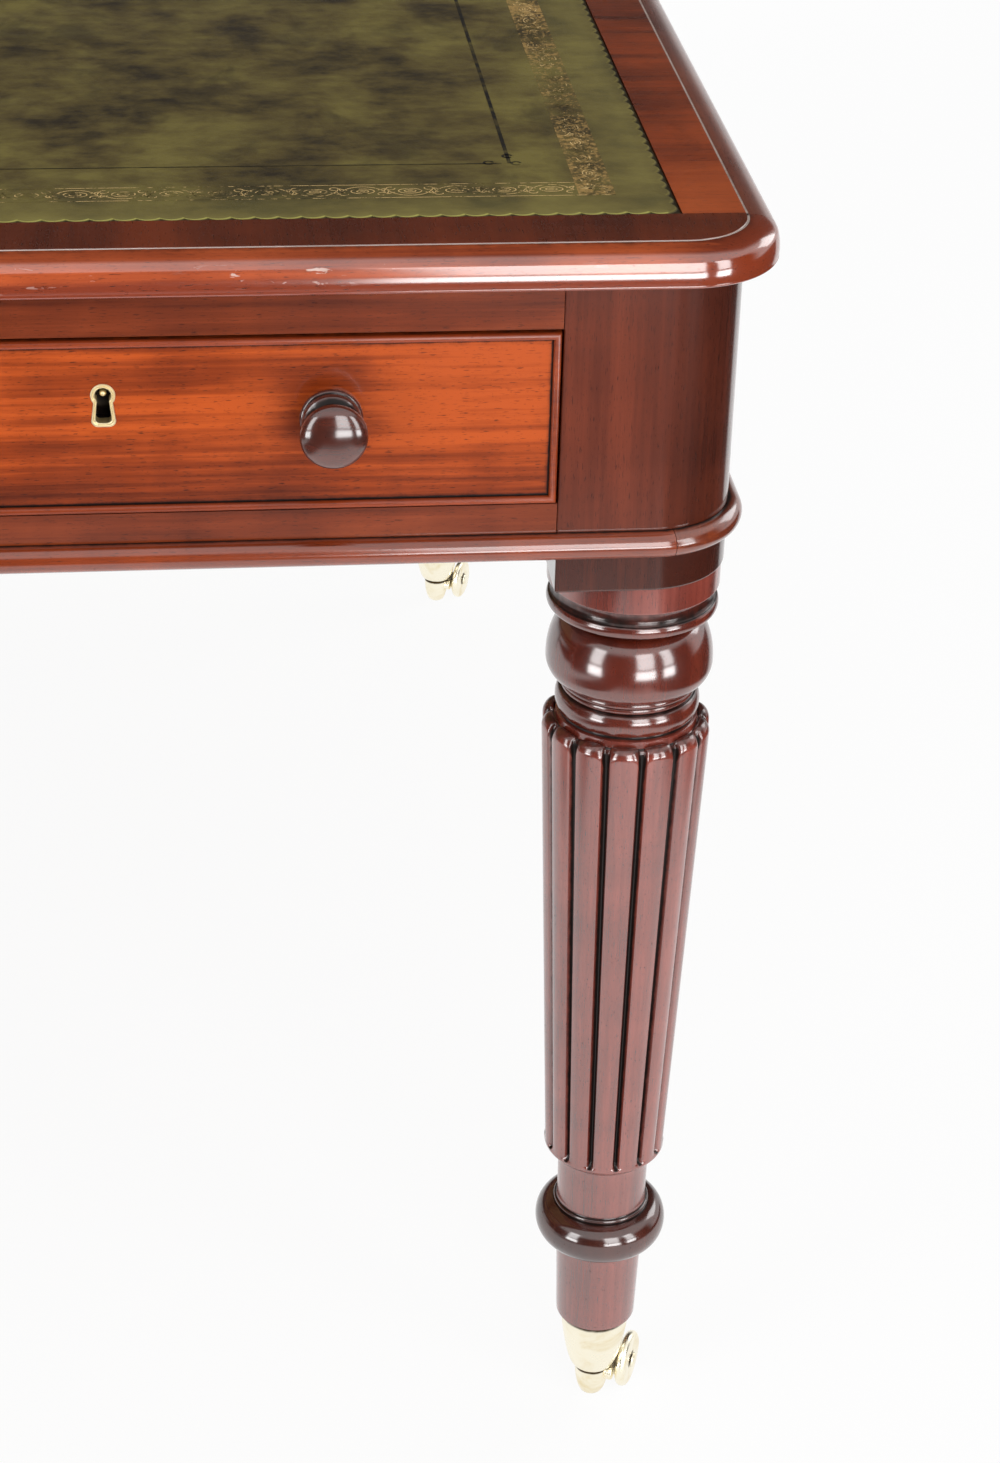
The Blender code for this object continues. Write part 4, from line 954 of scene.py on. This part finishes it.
# Leather and its tooling: half length, half width and turn of each side
LEATHER_SIDES = ((LEATHER_X, LEATHER_Y, 0.0), (LEATHER_Y, LEATHER_X, pi / 2),
                 (LEATHER_X, LEATHER_Y, pi), (LEATHER_Y, LEATHER_X, 3 * pi / 2))
LOBE_PITCH, LOBE_STEPS = 0.0114, 8
LOBE_IN, LOBE_DEEP, LOBE_LEAST = 0.0011, 0.0026, 0.0004
# Near the short ends the painted highlight on the lobes is weaker.
END_ZONE, END_PALE = 0.006, 0.45
# From the edge inwards: whether it follows the lobes, how far in, how far down, hollow (a painted shadow) and pale
# (paler leather, with a painted highlight on the lobes)
LEATHER_STEPS = ((False, 0.0, LEATHER_T, 0.6, 0.0), (False, 0.0001, 0.0007, 0.9, 0.0),
                 (True, -0.0005, 0.0006, 1.0, 0.0), (True, 0.0, 0.0003, 0.5, 0.6), (True, 0.0004, 0.0, 0.0, 1.0),
                 (True, 0.0014, 0.0, 0.0, 0.5), (False, 0.0085, 0.0, 0.0, 0.34), (False, 0.024, 0.0, 0.0, 0.24),
                 (False, 0.060, 0.0, 0.0, 0.0))


def leather_loop(lobed, offset):
    """Points round the leather in plan, a whole number of lobes to each side."""
    def inset_at(share):
        return max(lobe_inset(share) + offset, LOBE_LEAST) if lobed else offset

    loop = []
    for length, across, turn in LEATHER_SIDES:
        lobes = round(2 * length / LOBE_PITCH)
        for i in range(lobes * LOBE_STEPS):
            share = i / (lobes * LOBE_STEPS)
            inset = inset_at(i % LOBE_STEPS / LOBE_STEPS)
            span = length - inset_at(0.0)
            x, y = -span + 2 * span * share, -across + inset
            loop.append((x * cos(turn) - y * sin(turn), x * sin(turn) + y * cos(turn)))
    return loop


def lobe_inset(share):
    """How far the tooled line stands in from the edge along one lobe: deepest at its ends."""
    return LOBE_IN + LOBE_DEEP * (1 - sin(pi * share) ** 0.8)


def make_leather():
    rings, hollow, lobe = [], [], []
    for lobed, offset, drop, sunk, pale in LEATHER_STEPS:
        loop, z = leather_loop(lobed, offset), LEATHER_TOP - drop
        rings.append([(x, y, z) for x, y in loop])
        hollow += [sunk] * len(loop)
        lobe += [pale * END_PALE if pale > 0.4 and abs(x) > LEATHER_X - END_ZONE else pale for x, _ in loop]
    shape = Shape()
    shape.rings(rings, 0, hollow, lobe=lobe)
    return make_piece("tooled_leather", shape, [LEATHER], "frame", ["leather_skiver"])


class Tooling:
    """Fine flat lines laid on the leather, drawn along one side of it and mitred at its corners."""

    def __init__(self):
        self.shape = Shape()

    def line(self, path, width, z=LEATHER_TOP + LINE_LIFT, finish=0):
        points = []
        for i, (x, y) in enumerate(path):
            before, after = Vector(path[max(i - 1, 0)]), Vector(path[min(i + 1, len(path) - 1)])
            way = (after - before).normalized()
            off = Vector((-way.y, way.x)) * width / 2
            points += [(x - off.x, y - off.y, z), (x + off.x, y + off.y, z)]
        faces = [(2 * i, 2 * i + 2, 2 * i + 3, 2 * i + 1) for i in range(len(path) - 1)]
        self.shape.put(points, faces, finish)

    def on_side(self, side, strokes, width, **how):
        """Strokes of (along, in from the edge) points, on the front side turned to the given one."""
        _, across, turn = side
        for stroke in strokes:
            path = []
            for along, inward in stroke:
                x, y = along, -across + inward
                path.append((x * cos(turn) - y * sin(turn), x * sin(turn) + y * cos(turn)))
            self.line(path, width, **how)


GOLD_IN, GOLD_OUT = 0.0285, 0.0470
GOLD_MIDDLE = (GOLD_IN + GOLD_OUT) / 2
GOLD_UNIT, GOLD_MARGIN, GOLD_RULE_STEP = 0.0236, 0.0010, 0.03
GOLD_LINE, GOLD_RAY, GOLD_RAY_LONG, GOLD_RAY_FOOT = 0.0006, 0.0007, 0.0080, 0.003
BLIND_IN = 0.0765
BLIND_LONG_LINE, BLIND_SHORT_LINE, BLIND_CURL_LINE, BLIND_CURL_R = 0.0011, 0.0020, 0.0013, 0.0024


def arc(centre, across, tall, start, end, steps):
    angles = [start + (end - start) * i / steps for i in range(steps + 1)]
    return [(centre[0] + across * cos(a), centre[1] + tall * sin(a)) for a in angles]


def roll_unit(middle, low, high, hanging):
    """One unit of the roll: an oval in a swag, scrolls at its ends and a leaf between it and the next."""
    centre = (middle, (low + high) / 2)
    deep = (high - low) / 2
    way = -1 if hanging else 1
    half = GOLD_UNIT / 2
    strokes = [arc(centre, 0.0058, deep * 0.42, 0.0, 2 * pi, 18)]
    strokes.append(arc(centre, 0.0030, deep * 0.2, 0.0, 2 * pi, 10))
    swag = (middle, centre[1] - way * deep * 0.62)
    strokes.append(arc(swag, half * 0.98, way * deep * 1.40, 0.06 * pi, 0.94 * pi, 18))
    for side in (-1, 1):
        curl = (middle + side * half * 0.80, centre[1] - way * deep * 0.45)
        strokes.append(arc(curl, 0.0022, deep * 0.24, 0.0, side * 1.6 * pi, 9))
        leaf = (middle + side * half, centre[1] + way * deep * 0.50)
        strokes.append([(leaf[0] - side * 0.0042, leaf[1] - way * deep * 0.30), leaf])
        strokes.append([(leaf[0] - side * 0.0016, leaf[1] - way * deep * 0.62), leaf])
    strokes.append([(middle - 0.0012, centre[1]), (middle + 0.0012, centre[1])])
    return strokes


def make_tooling():
    gold = Tooling()
    blind = Tooling()
    for side in LEATHER_SIDES:
        length = side[0]
        if length == LEATHER_X:
            for inward in (GOLD_IN, GOLD_OUT):
                end = length - inward
                count = round(2 * end / GOLD_RULE_STEP)
                rule = [(-end + 2 * end * i / count, inward) for i in range(count + 1)]
                gold.on_side(side, [rule], GOLD_LINE)
        else:
            ground = [(-length + GOLD_IN, GOLD_MIDDLE), (length - GOLD_IN, GOLD_MIDDLE)]
            gold.on_side(side, [ground], GOLD_OUT - GOLD_IN, z=LEATHER_TOP + GROUND_LIFT, finish=1)
        run = length - GOLD_OUT - GOLD_MARGIN
        units = 2 * (round(2 * run / GOLD_UNIT) // 2)
        for i in range(units):
            middle = -run + 2 * run * (i + 0.5) / units
            unit = roll_unit(middle, GOLD_IN + GOLD_MARGIN, GOLD_OUT - GOLD_MARGIN, i % 2 == 0)
            gold.on_side(side, unit, GOLD_LINE)
        corner = length - GOLD_MIDDLE
        for turn in range(-2, 9):
            angle = turn * pi / 8
            tip = (corner + GOLD_RAY_LONG * cos(angle), GOLD_MIDDLE + GOLD_RAY_LONG * sin(angle))
            gold.on_side(side, [[(corner - GOLD_RAY_FOOT, GOLD_MIDDLE), tip]], GOLD_RAY)
        end = length - BLIND_IN
        blind.on_side(side, [[(-end, BLIND_IN), (end - 0.004, BLIND_IN)]],
                      BLIND_SHORT_LINE if length == LEATHER_Y else BLIND_LONG_LINE)
        for curl in ((end + 0.0035, BLIND_IN), (end - 0.0105, BLIND_IN + 0.0012), (end, BLIND_IN + 0.0110)):
            blind.on_side(side, [arc(curl, BLIND_CURL_R, BLIND_CURL_R, 0.2, 1.75 * pi, 12)], BLIND_CURL_LINE)
    finish = {"gold_tooling": (gold, [GILDING, GOLD_GROUND]), "blind_tooling": (blind, [BLIND])}
    return [make_piece(name, work.shape, materials, "frame", outward=False)
            for name, (work, materials) in finish.items()]


# Beads

def make_beads():
    for name, half_run, half_across, turn, wood in (("front", LENGTH_HALF, DEPTH_HALF, 0.0, BEAD_X),
                                                    ("back", LENGTH_HALF, DEPTH_HALF, pi, BEAD_X),
                                                    ("right", DEPTH_HALF, LENGTH_HALF, pi / 2, BEAD_Y),
                                                    ("left", DEPTH_HALF, LENGTH_HALF, -pi / 2, BEAD_Y)):
        reach = half_run - POST_CORNER_R
        last = -pi + BEAD_JOINT_TURN + FIT / POST_CORNER_R
        stations = [(reach, -pi / 2 + BEAD_JOINT_TURN * (1 - i / 6)) for i in range(7)]
        stations += [(-reach, -pi / 2 + (last + pi / 2) * i / 30) for i in range(31)]
        middle = FRAME_BOTTOM + BEAD_H / 2
        section = [(FIT + (BEAD_OUT - FIT) * sin(pi * i / 18), middle - BEAD_H / 2 * cos(pi * i / 18))
                   for i in range(19)]
        rings, hollow = [], []
        for x, angle in stations:
            rings.append([(x + (POST_CORNER_R + out) * cos(angle),
                           -half_across + POST_CORNER_R + (POST_CORNER_R + out) * sin(angle), z)
                          for out, z in section])
            # Darker where the bead's upper side meets the frame: dust and painted shade in that crevice.
            hollow += [0.0] * (len(section) - 3) + [0.15, 0.6, 1.0]
        shape = Shape()
        shape.rings(rings, 0, hollow)
        make_piece("astragal_" + name, shape.moved(turn_about_z(turn)), [wood], "frame",
                   [name + "_bead"], sharp=radians(50.0))


# Drawers, made at the middle of an opening with the face of the frame at Y = 0

def keyhole_outline(grow):
    """Keyhole in the plane of the face, grown outwards by a margin: round above, flared and rounded below."""
    radius, waist, foot = KEYHOLE_R + grow, KEYHOLE_WAIST + grow * 0.9, KEYHOLE_FOOT + grow
    low = KEYHOLE_Z - KEYHOLE_DROP - grow
    opening = acos(min(1.0, waist / radius))
    outline = [(radius * cos(a), KEYHOLE_Z + radius * sin(a))
               for a in (-opening + (pi + 2 * opening) * i / 26 for i in range(27))]
    bend = foot * 0.55
    quarter = [pi / 2 * i / 6 for i in range(7)]
    outline += [(-foot + bend - bend * cos(a), low + bend - bend * sin(a)) for a in quarter]
    outline += [(foot - bend + bend * sin(a), low + bend - bend * cos(a)) for a in quarter]
    return outline


def face_shape():
    """Drawer front with a rounded cock bead round it and a keyhole through it."""
    # Hollow darkens the gap beside the cock bead and the walls of the keyhole: painted shade there.
    steps = [(0.0, FACE_T, 0.0), (0.0, 0.0, 0.6)]
    crown = COCK_BEAD_W / 2
    for i in range(11):
        angle = pi * i / 10
        steps.append((crown - crown * cos(angle), -COCK_BEAD_OUT * (0.35 + 0.65 * sin(angle)), 0.0))
    steps += [(COCK_BEAD_W, -0.0004, 0.8), (COCK_BEAD_W + 0.0002, 0.0, 1.0), (COCK_BEAD_W + 0.0014, 0.0, 0.35),
              (COCK_BEAD_W + 0.0045, 0.0, 0.0)]
    rings, hollow = [], []
    for inset, y, mark in steps:
        x, foot, head = FACE_HALF - inset, FACE_LOW + inset, FACE_HIGH - inset
        rings.append([(-x, y, foot), (x, y, foot), (x, y, head), (-x, y, head)])
        hollow += [mark] * 4
    shape = Shape()
    shape.rings(rings, [0] + [1] * 13 + [0] * 2, hollow, caps=(True, False))
    field = bmesh.new()
    loops = [rings[-1], [(x, 0.0, z) for x, z in keyhole_outline(KEYHOLE_MARGIN)]]
    for loop in loops:
        corners = [field.verts.new(point) for point in loop]
        for i, corner in enumerate(corners):
            field.edges.new((corner, corners[(i + 1) % len(corners)]))
    bmesh.ops.triangle_fill(field, use_beauty=True, use_dissolve=False, edges=field.edges[:])
    field.verts.index_update()
    shape.put([v.co.copy() for v in field.verts], [tuple(v.index for v in f.verts) for f in field.faces])
    field.free()
    wall = [[(x, y, z) for x, z in keyhole_outline(KEYHOLE_MARGIN)] for y in (0.0, KEYHOLE_DEPTH)]
    shape.rings(wall, 0, [0.5] * len(wall[0]) + [1.0] * len(wall[0]), caps=(False, True))
    return shape


def keyhole_plate():
    """Brass keyhole lining let into the face, with a fine line round the middle of its rim."""
    rings, hollow = [], []
    for grow, y, mark in PLATE_STEPS:
        ring = [(x, y, z) for x, z in keyhole_outline(grow)]
        rings.append(ring)
        hollow += [mark] * len(ring)
    shape = Shape()
    shape.rings(rings, 0, hollow, looped=True)
    return shape


def lock_pin():
    """Drill pin of the lock, seen through the upper part of the keyhole."""
    shape = Shape()
    shape.turned(PIN_PROFILE, PIN_SIDES)
    lay = Matrix(((1, 0, 0, 0), (0, 0, -1, KEYHOLE_DEPTH - 0.0002), (0, 1, 0, KEYHOLE_Z), (0, 0, 0, 1)))
    return shape.moved(lay)


def knob_shape(x):
    """Turned knob standing out from the face: collar, ring, neck and a flattened head."""
    profile = list(KNOB_COLLAR)
    for i in range(11):
        angle = pi * i / 10
        profile.append((KNOB_RING_R + KNOB_RING_OUT * sin(angle), KNOB_RING_AT + KNOB_RING_T * i / 10,
                        0.3 * abs(cos(angle))))
    profile += KNOB_NECK
    start, sweep = KNOB_HEAD_SWEEP
    for i in range(30):
        angle = start + sweep * i / 29
        deep = KNOB_HEAD_T * sin(angle) * (KNOB_UNDERSIDE if i < 11 else 1.0)
        profile.append((KNOB_HEAD_R * cos(angle), KNOB_HEAD_AT + deep, 0.0))
    shape = Shape()
    shape.turned(profile, KNOB_SIDES)
    lay = Matrix(((1, 0, 0, x), (0, 0, -1, 0), (0, 1, 0, KNOB_Z), (0, 0, 0, 1)))
    return shape.moved(lay)


def make_drawers():
    for side, turn in SIDES.items():
        for bay, x in BAY_CENTRES.items():
            name = side + "_" + bay + "_drawer"
            if side == "back":
                x = -x
            at = turn_about_z(turn) @ Matrix.Translation((x, -DEPTH_HALF, 0.0))
            make_piece(name + "_front", face_shape().moved(at), [FACE_WOOD, COCK_BEAD], name,
                       [name + "_face"], sharp=radians(30.0))
            make_piece(name + "_keyhole", keyhole_plate().moved(at), [KEYHOLE_BRASS], name)
            make_piece(name + "_lock_pin", lock_pin().moved(at), [KEYHOLE_BRASS], name)
            for hand, place in (("left", KNOB_INSET - FACE_HALF), ("right", FACE_HALF - KNOB_INSET)):
                make_piece(name + "_turned_knob_" + hand, knob_shape(place).moved(at), [KNOB_WOOD], name,
                           [name + "_knob_" + hand])


make_legs()
make_castors()
make_borders()
leather = make_leather()
tooling = make_tooling()
make_beads()
make_drawers()


# Stage, lamps and camera

WHITE = (1.0, 1.0, 1.0)
BACKDROP, FLOOR_PAPER = (0.98, 0.98, 0.98, 1.0), (0.80, 0.80, 0.80, 1.0)
ROOM_DARK, MIRRORED_ROOM, MIRRORED_FLOOR = (0.035, 0.035, 0.037), (0.032, 0.029, 0.026), (0.03, 0.03, 0.03)
FLOOR_HALF, FLOOR_SHADOW = 9.0, 0.08
PAPER_HALF_X, PAPER_FRONT, PAPER_FADE, PAPER_FALL = 1.35, -1.22, 0.95, 1.3
WINDOWS = {"left": (-54, 9.5), "middle": (14, 13), "right": (46, 8)}      # azimuth and half width, in degrees
# Lowest and highest elevation of each pane in degrees, share of the window's width, brightness
WINDOW_PANES = {"foot": (-12.4, -1.0, 1.0, 8.4), "head": (1.5, 34.0, 0.9, 5.0)}
WINDOW_FAR, BACK_WINDOW_FAR = 2.4, 2.6
BULB_MIDDLE, TOP_CORNER, BACK_MIDDLE = (LEG_X, -LEG_Y, 0.53), (LEG_X, -LEG_Y, 0.72), (0.0, LEG_Y, 0.53)
CAMERA_PLACE = (0.497163, -1.959180, 1.286933)
CAMERA_PITCH, CAMERA_YAW, CAMERA_ROLL = radians(29.648), radians(-7.001), radians(1.6825)
CAMERA_LENS, CAMERA_SENSOR = 75.733, 36.0


def bare_tree(owner):
    owner.use_nodes = True
    owner.node_tree.nodes.clear()
    return owner.node_tree


def either(tree, factor, first, second):
    return add(tree, "ShaderNodeMixShader", {0: factor, 1: first, 2: second}).outputs[0]


def glow(tree, kind, colour):
    return add(tree, "ShaderNode" + kind, {"Color": colour, "Strength": 1.0}).outputs[0]


def make_stage():
    """White floor. Polished wood mirrors only the paper under the table, not the dark room round it."""
    reach = FLOOR_HALF
    corners = [(-reach, -reach, 0.0), (reach, -reach, 0.0), (reach, reach, 0.0), (-reach, reach, 0.0)]
    mesh = bpy.data.meshes.new("floor")
    mesh.from_pydata(corners, [], [(0, 1, 2, 3)])
    material = bpy.data.materials.new("white_floor")
    mesh.materials.append(material)
    tree = bare_tree(material)
    path = add(tree, "ShaderNodeLightPath").outputs
    place = split(tree, add(tree, "ShaderNodeTexCoord").outputs["Object"])
    edge = maths(tree, "SUBTRACT", maths(tree, "ABSOLUTE", place["X"]), maths(tree, "MAXIMUM", place["Y"], 0.0))
    aside = between(tree, edge, PAPER_HALF_X, PAPER_HALF_X + 0.2, 1.0, 0.0)
    # Dark again at the front left, and in the gaps between the windows' reflections
    shade = product(tree, between(tree, place["X"], -1.05, -0.85, 0.9, 0.0),
                    between(tree, place["Y"], -0.70, -0.40, 1.0, 0.0))
    aside = product(tree, aside, maths(tree, "SUBTRACT", 1.0, shade))
    gap = product(tree, between(tree, place["X"], 0.0, 0.30, 1.05, 0.0), between(tree, place["X"], -0.60, -0.40))
    start = maths(tree, "SUBTRACT", place["Y"], gap)
    start = maths(tree, "SUBTRACT", start, between(tree, place["X"], 1.15, 1.40, 0.0, 0.60))
    ahead = maths(tree, "POWER", between(tree, start, PAPER_FRONT - PAPER_FADE, PAPER_FRONT), PAPER_FALL)
    sheet = ramp(tree, product(tree, aside, ahead), ((0.0, MIRRORED_FLOOR), (1.0, WHITE)))
    paper = add(tree, "ShaderNodeBsdfDiffuse", {"Color": FLOOR_PAPER}).outputs[0]
    seen = maths(tree, "MAXIMUM", path["Is Camera Ray"], path["Is Transmission Ray"])
    shaded = either(tree, FLOOR_SHADOW, glow(tree, "Emission", (*WHITE, 1.0)), paper)
    both = either(tree, seen, paper, shaded)
    both = either(tree, path["Is Glossy Ray"], both, glow(tree, "Emission", sheet))
    add(tree, "ShaderNodeOutputMaterial", {"Surface": both})
    in_scene("floor", mesh)


def make_world():
    """Light from above, a white backdrop, and a dark room with white ceiling, back and side in reflections."""
    world = bpy.data.worlds.new("studio")
    bpy.context.scene.world = world
    tree = bare_tree(world)
    path = add(tree, "ShaderNodeLightPath").outputs
    way = split(tree, add(tree, "ShaderNodeTexCoord").outputs["Generated"])
    room = ramp(tree, between(tree, way["Z"], 0.25, 0.95), ((0.0, ROOM_DARK), (1.0, WHITE)))
    behind = product(tree, between(tree, way["Z"], 0.10, 0.19, 0.8, 0.0), between(tree, way["Y"], 0.1, 0.5))
    ceiling = product(tree, between(tree, way["Z"], 0.38, 0.62), between(tree, way["Y"], 0.15, 0.50, 1.0, 0.0))
    side = product(tree, between(tree, way["X"], 0.48, 0.66), between(tree, way["Y"], -0.15, 0.15))
    white = maths(tree, "MAXIMUM", maths(tree, "MAXIMUM", behind, ceiling), side)
    mirrored = ramp(tree, white, ((0.0, MIRRORED_ROOM), (1.0, WHITE)))
    both = either(tree, path["Is Glossy Ray"], glow(tree, "Background", room), glow(tree, "Background", mirrored))
    both = either(tree, path["Is Camera Ray"], both, glow(tree, "Background", BACKDROP))
    add(tree, "ShaderNodeOutputWorld", {"Surface": both})


def lamp(name, azimuth, low, high, half_width, brightness, aim=BULB_MIDDLE, far=WINDOW_FAR):
    """A soft panel seen from aim between two elevations, centred on an azimuth from the front, in degrees."""
    azimuth, low, high, half_width = (radians(angle) for angle in (azimuth, low, high, half_width))
    middle = (low + high) / 2
    way = Vector((sin(azimuth) * cos(middle), -cos(azimuth) * cos(middle), sin(middle)))
    light = bpy.data.lights.new(name, "AREA")
    light.shape = "RECTANGLE"
    light.size = 2 * far * half_width
    light.size_y = far * (high - low)
    light.energy = brightness * pi * light.size * light.size_y
    item = in_scene(name, light)
    item.location = Vector(aim) + way * far
    item.rotation_euler = (-way).to_track_quat("-Z", "Y").to_euler()
    item.visible_camera = False
    return item


def make_lamps():
    for name, (azimuth, half_width) in WINDOWS.items():
        for pane, (low, high, share, brightness) in WINDOW_PANES.items():
            lamp(name + "_window_" + pane, azimuth, low, high, half_width * share, brightness)
    lamp("side_window", 125, 10, 34, 14, 3.0, TOP_CORNER)
    back = lamp("back_window", 180, -10, 8, 40, 2.2, BACK_MIDDLE, BACK_WINDOW_FAR)
    back.visible_glossy = False


def make_camera():
    right = Vector((cos(CAMERA_YAW), sin(CAMERA_YAW), 0.0))
    level = Vector((-sin(CAMERA_YAW), cos(CAMERA_YAW), 0.0))
    ahead = level * cos(CAMERA_PITCH) - Vector((0.0, 0.0, sin(CAMERA_PITCH)))
    up = right.cross(ahead)
    across = right * cos(CAMERA_ROLL) + up * sin(CAMERA_ROLL)
    upright = up * cos(CAMERA_ROLL) - right * sin(CAMERA_ROLL)
    camera = bpy.data.cameras.new("photo_camera")
    camera.sensor_width = CAMERA_SENSOR
    camera.lens = CAMERA_LENS
    item = in_scene("photo_camera", camera)
    turn = Matrix((across, upright, -ahead)).transposed().to_4x4()
    item.matrix_world = Matrix.Translation(CAMERA_PLACE) @ turn
    bpy.context.scene.camera = item


make_stage()
make_world()
make_lamps()
make_camera()
bpy.context.scene.view_settings.view_transform = "Standard"

finishes = {"rail": RAIL_X, "apron": RAIL_Y, "partition": POST_WOOD, "runner": CARCASE, "tray": LINING,
            "panel": CARCASE}
for name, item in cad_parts.items():
    for word, finish in finishes.items():
        if word in name:
            item.data.materials.clear()
            item.data.materials.append(finish)
